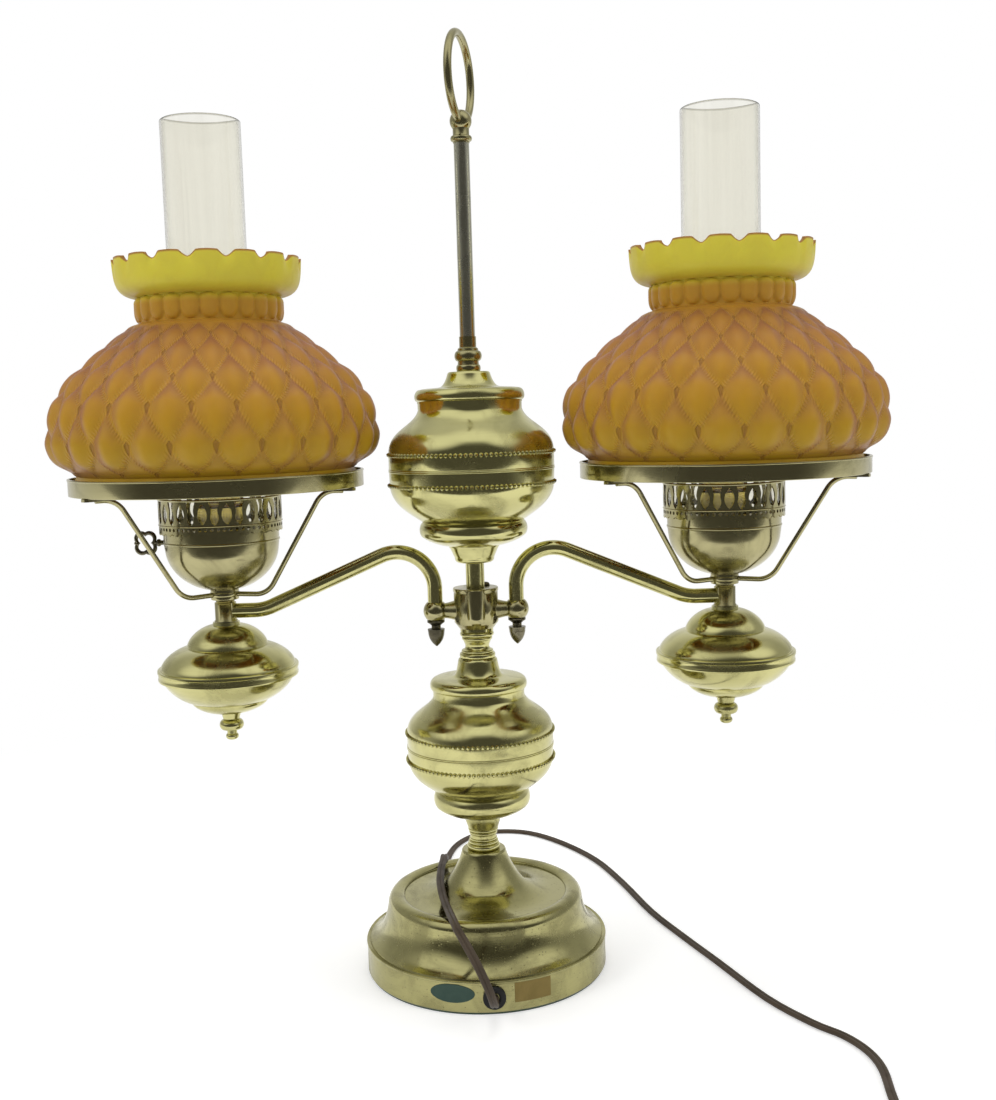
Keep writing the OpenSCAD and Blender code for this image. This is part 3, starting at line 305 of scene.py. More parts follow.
def bevel(bm: Mesh, edges: Sequence[bmesh.types.BMEdge], width: float, steps: int) -> None:
    """Round edges by a width in millimetres."""
    kind = {"offset_type": "OFFSET", "affect": "EDGES", "profile": 0.5, "material": -1}
    bmesh.ops.bevel(bm, geom=edges, offset=width * MM, segments=steps, **kind)


def thicken(bm: Mesh, depth: float) -> None:
    """Give a flat sheet in the XZ plane its depth along Y, in metres."""
    made = bmesh.ops.extrude_face_region(bm, geom=bm.faces[:])["geom"]
    bmesh.ops.translate(bm, vec=(0, depth, 0), verts=[g for g in made if isinstance(g, bmesh.types.BMVert)])


def wrapped(bm: Mesh, r: float, turn: float) -> Mesh:
    """Bend a flat shape round an upright cylinder.

    Args:
        bm: Flat shape, with X along the wall, Y outwards and Z up, in metres.
        r: Radius of the wall, in millimetres.
        turn: Angle of the shape's middle, in radians.

    Returns:
        The same mesh, bent.
    """
    for v in bm.verts:
        a, out = turn + v.co.x / (r * MM), r * MM + v.co.y
        v.co = Vector((out * math.cos(a), out * math.sin(a), v.co.z))
    bmesh.ops.recalc_face_normals(bm, faces=bm.faces[:])
    return bm


def from_node(name: str) -> Mesh:
    """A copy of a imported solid's mesh, with joined corners."""
    bm = bmesh.new()
    bm.from_mesh(bpy.data.objects[name].data)
    bmesh.ops.remove_doubles(bm, verts=bm.verts[:], dist=WELD)
    return bm


def merged(*shapes: Mesh) -> Mesh:
    """One mesh from several.

    Args:
        shapes: The meshes, which are freed.

    Returns:
        A mesh that holds them all.
    """
    out = bmesh.new()
    for bm in shapes:
        mesh = bpy.data.meshes.new("joined")
        bm.to_mesh(mesh)
        bm.free()
        out.from_mesh(mesh)
        bpy.data.meshes.remove(mesh)
    return out


def linked(name: str, bm: Mesh) -> bpy.types.Object:
    """Make an object of a mesh and put it into the scene.

    Args:
        name: Name of the object and of its mesh.
        bm: The mesh, which is freed.

    Returns:
        The object.
    """
    mesh = bpy.data.meshes.new(name)
    bm.to_mesh(mesh)
    bm.free()
    made = bpy.data.objects.new(name, mesh)
    bpy.context.scene.collection.objects.link(made)
    return made


def settle(
    bm: Mesh,
    name: str,
    material: Material,
    slot: str = "",
    nodes: Sequence[str] = (),
    body: str = "root",
    crease: float = 38.0,
) -> bpy.types.Object:
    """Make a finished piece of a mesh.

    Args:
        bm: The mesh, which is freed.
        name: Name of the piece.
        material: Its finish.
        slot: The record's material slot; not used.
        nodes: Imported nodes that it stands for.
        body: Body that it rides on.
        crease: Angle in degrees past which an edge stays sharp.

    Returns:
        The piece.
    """
    piece = linked(name, bm)
    piece.data.shade_smooth()
    piece.data.set_sharp_from_angle(angle=math.radians(crease))
    piece.data.materials.append(material)
    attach(piece, body)
    if nodes:
        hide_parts(*nodes)
    LOG.info("%s on %s, %d faces", name, body, len(piece.data.polygons))
    return piece


def dress(node: str, material: Material) -> None:
    """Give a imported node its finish."""
    slots = bpy.data.objects[node].data.materials
    slots.clear()
    slots.append(material)
    LOG.info("%s keeps its solid, in %s", node, material.name)


# Shared shader effects


@dataclass(frozen=True)
class Value:
    """An output in a node tree; arithmetic with it adds Math nodes."""

    tree: "Tree"
    socket: bpy.types.NodeSocket

    def __add__(self, other: "Value | float") -> "Value":
        """The sum."""
        return self.tree.math("ADD", self, other)

    def __sub__(self, other: "Value | float") -> "Value":
        """The difference."""
        return self.tree.math("SUBTRACT", self, other)

    def __mul__(self, other: "Value | float") -> "Value":
        """The product."""
        return self.tree.math("MULTIPLY", self, other)


class Tree:
    """Adds nodes to one node tree and links them."""

    def __init__(self, tree: bpy.types.NodeTree) -> None:
        """Keep the tree."""
        self.tree = tree

    def put(self, socket: bpy.types.NodeSocket, value: object) -> None:
        """Link a Value to an input, or set the input's own value.

        Args:
            socket: The input.
            value: A Value, a number, a vector or a colour.
        """
        if isinstance(value, Value):
            self.tree.links.new(value.socket, socket)
        elif socket.type == "RGBA":
            socket.default_value = (*value, 1)
        else:
            socket.default_value = value

    def fill(self, node: bpy.types.Node, **values: object) -> None:
        """Set a node's properties and inputs.

        Args:
            node: The node.
            values: What to set, by name with _ for a space.
        """
        for key, value in values.items():
            if hasattr(node, key):
                setattr(node, key, value)
            else:
                self.put(node.inputs[key.replace("_", " ")], value)

    def add(self, kind: str, **values: object) -> bpy.types.Node:
        """Add a node with its properties and inputs set."""
        node = self.tree.nodes.new(kind)
        self.fill(node, **values)
        return node

    def out(self, kind: str, output: str, **values: object) -> Value:
        """Add a node and return the output of that name."""
        return Value(self, self.add(kind, **values).outputs[output])

    def place(self) -> Value:
        """Object coordinates."""
        return self.out("ShaderNodeTexCoord", "Object")

    def facing(self) -> Value:
        """How far the surface turns away from the view."""
        return self.out("ShaderNodeLayerWeight", "Facing", Blend=0.5)

    def split(self, vector: Value) -> list[Value]:
        """The three parts of a vector."""
        return [Value(self, s) for s in self.add("ShaderNodeSeparateXYZ", Vector=vector).outputs]

    def rays(self) -> tuple[Value, Value]:
        """Tell the rays apart.

        Returns:
            Whether a ray comes from the camera, also through glass, and whether it is a mirrored one.
        """
        path = self.add("ShaderNodeLightPath")
        kinds = [Value(self, path.outputs[f"Is {k} Ray"]) for k in ("Camera", "Transmission", "Glossy")]
        return self.math("ADD", kinds[0], kinds[1], clamp=True), kinds[2]

    def math(self, operation: str, a: "Value | float", b: "Value | float" = 0.0, clamp: bool = False) -> Value:
        """Add a Math node.

        Args:
            operation: What it does.
            a: First value.
            b: Second value.
            clamp: Whether the result stays from 0 to 1.

        Returns:
            Its output.
        """
        node = self.add("ShaderNodeMath", operation=operation, use_clamp=clamp)
        for socket, value in zip(node.inputs, (a, b)):
            self.put(socket, value)
        return Value(self, node.outputs[0])

    def band(self, value: Value, low: float, high: float) -> Value:
        """Ease a value from 0 at low to 1 at high."""
        ends = {"From_Min": low, "From_Max": high}
        return self.out("ShaderNodeMapRange", "Result", interpolation_type="SMOOTHSTEP", Value=value, **ends)

    def mix(self, share: Value, a: "Value | Colour", b: "Value | Colour") -> Value:
        """Mix two colours.

        Args:
            share: Share of the second.
            a: First colour.
            b: Second colour.

        Returns:
            The mixed colour.
        """
        node = self.add("ShaderNodeMix", data_type="RGBA")
        for i, value in ((0, share), (6, a), (7, b)):
            self.put(node.inputs[i], value)
        return Value(self, node.outputs[2])


class Effect(Enum):
    """Shader node groups that several finishes share."""

    CLOUDS = "clouds"
    LINES = "turning_lines"
    PITS = "pits"

    def tree(self) -> bpy.types.NodeTree:
        """The group, built the first time it is asked for.

        Returns:
            A group with a Scale input, and Mask and Height outputs.
        """
        found = bpy.data.node_groups.get(self.value)
        if found:
            return found
        made = bpy.data.node_groups.new(self.value, "ShaderNodeTree")
        for name, way in (("Scale", "INPUT"), ("Mask", "OUTPUT"), ("Height", "OUTPUT")):
            made.interface.new_socket(name, in_out=way, socket_type="NodeSocketFloat")
        t = Tree(made)
        mask, height = self.paint(t, t.out("NodeGroupInput", "Scale"))
        t.add("NodeGroupOutput", Mask=mask, Height=height)
        return made

    def paint(self, t: Tree, scale: Value) -> tuple[Value, Value]:
        """Build the effect: blotches of haze, level lines from turning, or scattered pits.

        Args:
            t: The group's tree.
            scale: How fine it is.

        Returns:
            Where it shows, and its height.
        """
        place = t.place()
        if self is Effect.PITS:
            cells = t.add("ShaderNodeTexVoronoi", Vector=place, Scale=scale, Randomness=1.0)
            near, tag = (Value(t, cells.outputs[name]) for name in ("Distance", "Color"))
            chance = t.out("ShaderNodeSeparateColor", "Red", Color=tag)
            mask = t.band(near, 0.26, 0.08) * t.band(chance, 0.55, 0.75)
            return mask, t.math("SUBTRACT", 1.0, mask)
        look, edges = {"Detail": 6.0, "Roughness": 0.62, "Distortion": 0.6}, (0.42, 0.66)
        if self is Effect.LINES:
            place = t.out("ShaderNodeMapping", "Vector", Vector=place, Scale=(0.02, 0.02, 1.0))
            look, edges = {"Detail": 4.0, "Roughness": 0.7}, (0.5, 0.62)
        noise = t.out("ShaderNodeTexNoise", "Fac", Vector=place, Scale=scale, **look)
        return t.band(noise, *edges), noise


class Shader:
    """One material with a Principled surface, and its tree."""

    def __init__(self, name: str) -> None:
        """Make an empty material with a Principled surface."""
        self.material = bpy.data.materials.new(name)
        self.material.use_nodes = True
        self.tree = Tree(self.material.node_tree)
        self.surface = self.material.node_tree.nodes["Principled BSDF"]

    def set(self, **values: object) -> Material:
        """Set or link the surface's inputs, by name with _ for a space, and hand the material back."""
        self.tree.fill(self.surface, **values)
        return self.material

    def effect(self, effect: Effect, scale: float) -> tuple[Value, Value]:
        """Place a shared effect at a scale, and return its mask and its height."""
        node = self.tree.add("ShaderNodeGroup", node_tree=effect.tree(), Scale=scale)
        return Value(self.tree, node.outputs["Mask"]), Value(self.tree, node.outputs["Height"])

    def bump(self, height: Value, strength: float, distance: float, **under: Value) -> Value:
        """Normal of a bump, with its distance in metres, over another Normal if there is one."""
        values = {"Height": height, "Strength": strength, "Distance": distance, **under}
        return self.tree.out("ShaderNodeBump", "Normal", **values)


# Finishes


@dataclass(frozen=True)
class Brass:
    """Polished or aged brass, or another metal, with hazy patches, turning lines and pits."""

    name: str
    bright: Colour
    dull: Colour
    rough: float = 0.1
    haze: float = 0.25
    pits: float = 0.0
    lines: float = 0.15
    dirt: Colour = (0.06, 0.045, 0.02)

    def make(self) -> Material:
        """Build the material.

        Returns:
            The metal.
        """
        s = Shader(self.name)
        t = s.tree
        clouds, _ = s.effect(Effect.CLOUDS, 34.0)
        lines, grain = s.effect(Effect.LINES, 900.0)
        pits, depth = s.effect(Effect.PITS, 520.0)
        dull = t.math("ADD", clouds * self.haze, lines * (0.35 * self.lines), clamp=True)
        dark = pits * self.pits
        return s.set(
            Metallic=1.0,
            Base_Color=t.mix(dark, t.mix(dull, self.bright, self.dull), self.dirt),
            Roughness=dull * 0.34 + self.rough + dark * 0.3,
            Normal=s.bump(depth, self.pits, 0.0002, Normal=s.bump(grain, self.lines, 0.00006)),
        )


@dataclass(frozen=True)
class AmberGlass:
    """Satin amber glass of the shades, with its quilting in the UV map."""

    name: str
    foot: Colour = (0.47, 0.285, 0.010)
    belly: Colour = (0.50, 0.265, 0.016)
    crown: Colour = (0.42, 0.200, 0.026)
    neck: Colour = (0.47, 0.25, 0.022)
    # The collar glass's own yellow, painted brighter for light that passes through its thin wall.
    collar: Colour = (0.66, 0.585, 0.055)
    rim: Colour = (0.33, 0.16, 0.03)
    # Painted shade colour for the pillows' edges by the valleys and for their upper halves.
    valley: Colour = (0.235, 0.085, 0.042)
    seam: Colour = (0.52, 0.27, 0.035)
    # Painted sheen and shade colour where the glass turns away from view.
    grazing_shade: Colour = (0.275, 0.105, 0.068)
    # Painted shade colour for the buttons' dimples.
    button: Colour = (0.15, 0.05, 0.015)
    ticks: int = 11

    def make(self) -> Material:
        """Build the material.

        Returns:
            Glass that changes tone with height, with painted shade by the valleys, on the pillows' upper halves, in the
            buttons and at grazing angles, and with stitch ticks and buttons in its bump.
        """
        s = Shader(self.name)
        t = s.tree
        z = t.split(t.place())[2]
        tone = t.mix(t.band(z, 0.335, 0.372), self.foot, self.belly)
        # The collar's tone is its glass's own yellow, painted brighter for light that passes through its thin wall.
        for low, high, next_tone in (
            (0.368, 0.404, self.crown), (0.412, 0.424, self.neck), (0.430, 0.438, self.collar)
        ):
            tone = t.mix(t.band(z, low, high), tone, next_tone)
        u, row, _ = t.split(t.out("ShaderNodeUVMap", "UV", uv_map="quilt"))
        tone = t.mix(t.band(row, -5.9, -6.12), tone, self.rim)
        body = t.band(z, 0.3275, 0.330) * t.band(z, 0.4185, 0.4155)
        strong = body * (t.band(z, 0.335, 0.385) * 0.5 + 0.5)
        v = row * 0.5
        lean, back = u + v, u - v
        far = [t.math("ABSOLUTE", t.math("FRACT", line + 0.5) - 0.5) for line in (lean, back)]
        ticks = []
        for away, along in zip(far, (back, lean)):
            wave = t.math("SINE", along * (self.ticks * math.tau))
            ticks.append(t.band(away, 0.15, 0.02) * (wave * 0.5 + 0.5))
        valley, button = t.math("MINIMUM", *far), t.band(t.math("MAXIMUM", *far), 0.085, 0.045)
        clouds, _ = s.effect(Effect.CLOUDS, 60.0)
        # Painted shade: darker reddish brown on the pillows' edges by the valleys and on their upper halves, weaker in
        # the lower rows and broken by blotches.
        upper = t.math("FRACT", lean) - t.math("FRACT", back)
        shade = (t.band(valley, 0.36, 0.08) * 0.14 + t.band(upper, 0.5, -0.8) * 0.52) * strong
        tone = t.mix(t.math("ADD", shade, clouds * 0.08, clamp=True), tone, self.valley)
        tone = t.mix(t.band(valley, 0.1, 0.02) * strong * 0.5, tone, self.seam)
        # Painted sheen and shade: a pinkish brown where the glass turns away from view.
        tone = t.mix(t.band(t.facing(), 0.28, 0.95) * body * 0.68, tone, self.grazing_shade)
        height = (t.math("MAXIMUM", *ticks) * 0.6 - button) * body
        s.set(Subsurface_Weight=0.15, Subsurface_Radius=(1.0, 0.55, 0.1), Subsurface_Scale=0.006)
        s.set(Coat_Weight=0.03, Coat_Roughness=0.35, Sheen_Weight=0.08, Sheen_Tint=(1.0, 0.5, 0.3))
        return s.set(
            Specular_IOR_Level=0.25,
            # Painted shade: the buttons' dimples darkened.
            Base_Color=t.mix(button * body * 0.4, tone, self.button),
            Roughness=clouds * 0.12 + 0.36,
            Normal=s.bump(height, 0.8, 0.0007),
        )


@dataclass(frozen=True)
class ClearGlass:
    """Thin clear glass with faint upright streaks, and painted shade: greyer where it turns away, with a dark outline
    and a grey lip.
    """

    name: str
    tint: Colour = (0.905, 0.894, 0.832)
    streak: Colour = (0.880, 0.868, 0.805)
    # side, outline and lip are colours of painted shade.
    side: Colour = (0.80, 0.79, 0.72)
    outline: Colour = (0.30, 0.29, 0.26)
    lip: Colour = (0.60, 0.59, 0.53)

    def make(self) -> Material:
        """Build the material.

        Returns:
            The glass.
        """
        s = Shader(self.name)
        t = s.tree
        haze, swell = s.effect(Effect.CLOUDS, 12.0)
        place, edge = t.place(), t.facing()
        upright = t.out("ShaderNodeMapping", "Vector", Vector=place, Scale=(1.0, 1.0, 0.02))
        streaks = t.out("ShaderNodeTexNoise", "Fac", Vector=upright, Scale=240.0, Detail=3.0)
        tone = t.mix(t.band(streaks, 0.42, 0.62), self.tint, self.streak)
        # Painted shade: greyer where the glass turns away from view, a dark outline at its silhouette and a grey line
        # along its lip, for the surroundings seen in its edges.
        tone = t.mix(t.band(edge, 0.5, 0.72), tone, self.side)
        tone = t.mix(t.band(edge, 0.86, 0.99), tone, self.outline)
        tone = t.mix(t.band(t.split(place)[2], 0.5412, 0.5420), tone, self.lip)
        normal = s.bump(swell, 0.03, 0.0005)
        s.set(Base_Color=tone, Roughness=haze * 0.015, Normal=normal)
        return s.set(Metallic=0.0, Transmission_Weight=1.0, IOR=1.47)


@dataclass(frozen=True)
class Moulded:
    """A dull material with mottled tone and fine grain: rubber, plastic, felt, paper or cast iron."""

    name: str
    tone: Colour
    second: Colour
    rough: float = 0.5
    grain: float = 900.0
    relief: float = 0.2
    depth: float = 0.0001
    metal: float = 0.0
    sheen: float = 0.0
    gloss: float = 0.5

    def make(self) -> Material:
        """Build the material.

        Returns:
            The material.
        """
        s = Shader(self.name)
        clouds, _ = s.effect(Effect.CLOUDS, 70.0)
        _, grain = s.effect(Effect.CLOUDS, self.grain)
        share = (clouds + grain) * 0.5
        s.set(Metallic=self.metal, Sheen_Weight=self.sheen, Specular_IOR_Level=self.gloss)
        return s.set(
            Base_Color=s.tree.mix(share, self.tone, self.second),
            Roughness=share * 0.15 + self.rough,
            Normal=s.bump(grain, self.relief, self.depth),
        )


class Finishes:
    """All finishes of the lamp, made once."""

    def __init__(self) -> None:
        """Make every material: metals with roughness, haze, pits and lines, then the others."""
        self.brass = Brass("polished_brass", (0.64, 0.605, 0.275), (0.35, 0.325, 0.135), 0.125, 0.48).make()
        self.base_brass = Brass("worn_brass", (0.46, 0.43, 0.195), (0.22, 0.20, 0.09), 0.13, 0.5, 0.4, 0.25).make()
        self.aged_brass = Brass("aged_brass", (0.46, 0.42, 0.22), (0.23, 0.21, 0.10), 0.15, 0.4, 0.05, 0.12).make()
        self.dark_rod = Brass("dark_rod", (0.60, 0.595, 0.48), (0.36, 0.355, 0.27), 0.2, 0.4, 0.0, 0.3).make()
        self.dark_brass = Brass("antique_brass", (0.22, 0.20, 0.13), (0.09, 0.08, 0.055), 0.24, 0.7, 0.5, 0.5).make()
        self.rod_brass = Brass("drawn_brass", (0.58, 0.47, 0.20), (0.30, 0.24, 0.10), 0.3, 0.6, 0.3, 0.8).make()
        self.socket_brass = Brass("socket_brass", (0.76, 0.63, 0.19), (0.50, 0.41, 0.12), 0.2, 0.4, 0.1, 0.3).make()
        self.steel = Brass("zinc_steel", (0.55, 0.55, 0.56), (0.34, 0.34, 0.35), 0.3, 0.5, 0.2, 0.4).make()
        self.amber = AmberGlass("amber_satin_glass").make()
        self.clear = ClearGlass("clear_glass").make()
        self.bulb = Moulded("frosted_bulb", (0.86, 0.84, 0.80), (0.80, 0.78, 0.74), 0.35, 1400.0, 0.05).make()
        self.cord = Moulded(
            "brown_cord", (0.085, 0.062, 0.042), (0.055, 0.040, 0.027), 0.45, 1100.0, 0.2, gloss=0.25
        ).make()
        self.rubber = Moulded(
            "black_rubber", (0.014, 0.014, 0.014), (0.026, 0.026, 0.026), 0.5, 1300.0, 0.3, gloss=0.25
        ).make()
        self.felt = Moulded(
            "green_felt", (0.02, 0.055, 0.03), (0.035, 0.085, 0.05), 0.9, 2600.0, 0.8, 0.0006, sheen=0.5
        ).make()
        self.iron = Moulded(
            "cast_iron", (0.05, 0.05, 0.052), (0.09, 0.085, 0.08), 0.65, 700.0, 0.8, 0.0006, metal=0.6
        ).make()
        self.tie = Moulded("black_tie", (0.02, 0.02, 0.022), (0.04, 0.04, 0.042), 0.45, 1500.0, 0.3).make()
        self.green_patch = Moulded(
            "green_foil", (0.030, 0.066, 0.052), (0.050, 0.090, 0.068), 0.4, 1600.0, 0.2, gloss=0.3
        ).make()
        self.tan_patch = Moulded(
            "tan_paper", (0.27, 0.20, 0.065), (0.21, 0.155, 0.05), 0.6, 1200.0, 0.3, gloss=0.15
        ).make()


@dataclass
class Part:
    """A sub-assembly, with the finishes that all of them share."""

    finishes: Finishes


# Camera, light and floor


@dataclass
class Studio:
    """Camera at the photograph's place, a pale floor and soft light."""

    place: Triple = (0.0039, -0.81417, 0.36031)
    pitch: float = 0.1075
    roll: float = 0.0299
    yaw: float = 0.0138
    lens: float = 41.98
    floor_size: float = 12.0
    floor_y: float = 11.5
    glints: tuple[tuple[Triple, float], ...] = (
        ((-0.60, -0.36, 0.71), 0.78), ((0.66, -0.30, 0.69), 0.82), ((0.05, -0.25, 0.97), 0.85)
    )

    def camera(self) -> None:
        """Set the camera."""
        level = math.cos(self.pitch)
        ahead = Vector((math.sin(self.yaw) * level, math.cos(self.yaw) * level, -math.sin(self.pitch)))
        right = Vector((math.cos(self.yaw), -math.sin(self.yaw), 0))
        down = ahead.cross(right)
        c, s = math.cos(self.roll), math.sin(self.roll)
        data = bpy.data.cameras.new("photo_camera")
        data.lens, data.sensor_width, data.clip_start = self.lens, 36.0, 0.01
        camera = bpy.data.objects.new("photo_camera", data)
        bpy.context.scene.collection.objects.link(camera)
        camera.matrix_world = placed(c * right + s * down, s * right - c * down, -ahead, Vector(self.place))
        bpy.context.scene.camera = camera

    def floor(self) -> None:
        """Lay a pale floor that keeps the shadow and looks white."""
        bm = bmesh.new()
        bmesh.ops.create_grid(bm, x_segments=1, y_segments=1, size=self.floor_size)
        bmesh.ops.translate(bm, vec=(0, self.floor_y, 0), verts=bm.verts[:])
        floor = linked("floor", bm)
        s = Shader("pale_floor")
        t = s.tree
        seen, mirrored = t.rays()
        s.set(Base_Color=(0.82, 0.82, 0.82), Roughness=0.9, Emission_Color=(1, 1, 1))
        s.set(Emission_Strength=seen * 0.4 + mirrored * 0.25)
        away = t.out("ShaderNodeVectorMath", "Value", operation="LENGTH", Vector=t.place())
        plain = t.out("ShaderNodeEmission", "Emission", Color=(1, 1, 1), Strength=1.0)
        blend = t.add("ShaderNodeMixShader")
        parts = (seen * t.band(away, 0.3, 0.8), Value(t, s.surface.outputs[0]), plain)
        for socket, value in zip(blend.inputs, parts):
            t.put(socket, value)
        t.fill(s.material.node_tree.nodes["Material Output"], Surface=Value(t, blend.outputs[0]))
        floor.data.materials.append(s.material)

    def world(self) -> None:
        """Light the world softly; it looks white, and metal sees a dim front with bright glints."""
        world = bpy.data.worlds.new("studio")
        world.use_nodes = True
        bpy.context.scene.world = world
        t = Tree(world.node_tree)
        seen, mirrored = t.rays()
        way = t.out("ShaderNodeTexCoord", "Generated")
        _, y, z = t.split(way)
        mirror = t.mix(t.band(y, -0.7, 0.1), (0.085, 0.082, 0.075), (0.41, 0.41, 0.40))
        mirror = t.mix(t.band(y, 0.5, 0.95), mirror, (0.75, 0.75, 0.75))
        mirror = t.mix(t.band(z, 0.5, 0.95), mirror, (0.62, 0.62, 0.62))
        for aim, wide in self.glints:
            toward = t.add("ShaderNodeVectorMath", operation="DOT_PRODUCT", Vector=way)
            toward.inputs[1].default_value = aim
            mirror = t.mix(t.band(Value(t, toward.outputs["Value"]), wide, 1.0), mirror, (0.95, 0.95, 0.95))
        tone = t.mix(mirrored, (0.62, 0.62, 0.62), mirror)
        t.fill(world.node_tree.nodes["Background"], Color=t.mix(seen, tone, (1.0, 1.0, 1.0)), Strength=1.0)

    def lamp(self, name: str, place: Triple, size: float, power: float) -> None:
        """Hang a square softbox that faces the lamp's middle.

        Args:
            name: Its name.
            place: Where it hangs, in metres.
            size: Its side, in metres.
            power: Its power, in watts.
        """
        data = bpy.data.lights.new(name, "AREA")
        data.shape, data.size, data.energy = "SQUARE", size, power
        lamp = bpy.data.objects.new(name, data)
        lamp.visible_glossy = lamp.visible_transmission = False
        bpy.context.scene.collection.objects.link(lamp)
        aim = Vector((0, 0, 0.3)) - Vector(place)
        lamp.matrix_world = Matrix.Translation(place) @ aim.to_track_quat("-Z", "Y").to_matrix().to_4x4()

    def build(self) -> None:
        """Make the camera, the floor and the light."""
        self.camera()
        self.floor()
        self.world()
        self.lamp("left_softbox", (-1.5, -1.0, 1.25), 0.7, 10.0)
        self.lamp("right_softbox", (1.6, -0.8, 1.0), 0.6, 6.0)
        self.lamp("top_softbox", (0.1, 0.2, 1.9), 0.9, 9.0)
        bpy.context.scene.view_settings.view_transform = "Standard"


# Mains cord


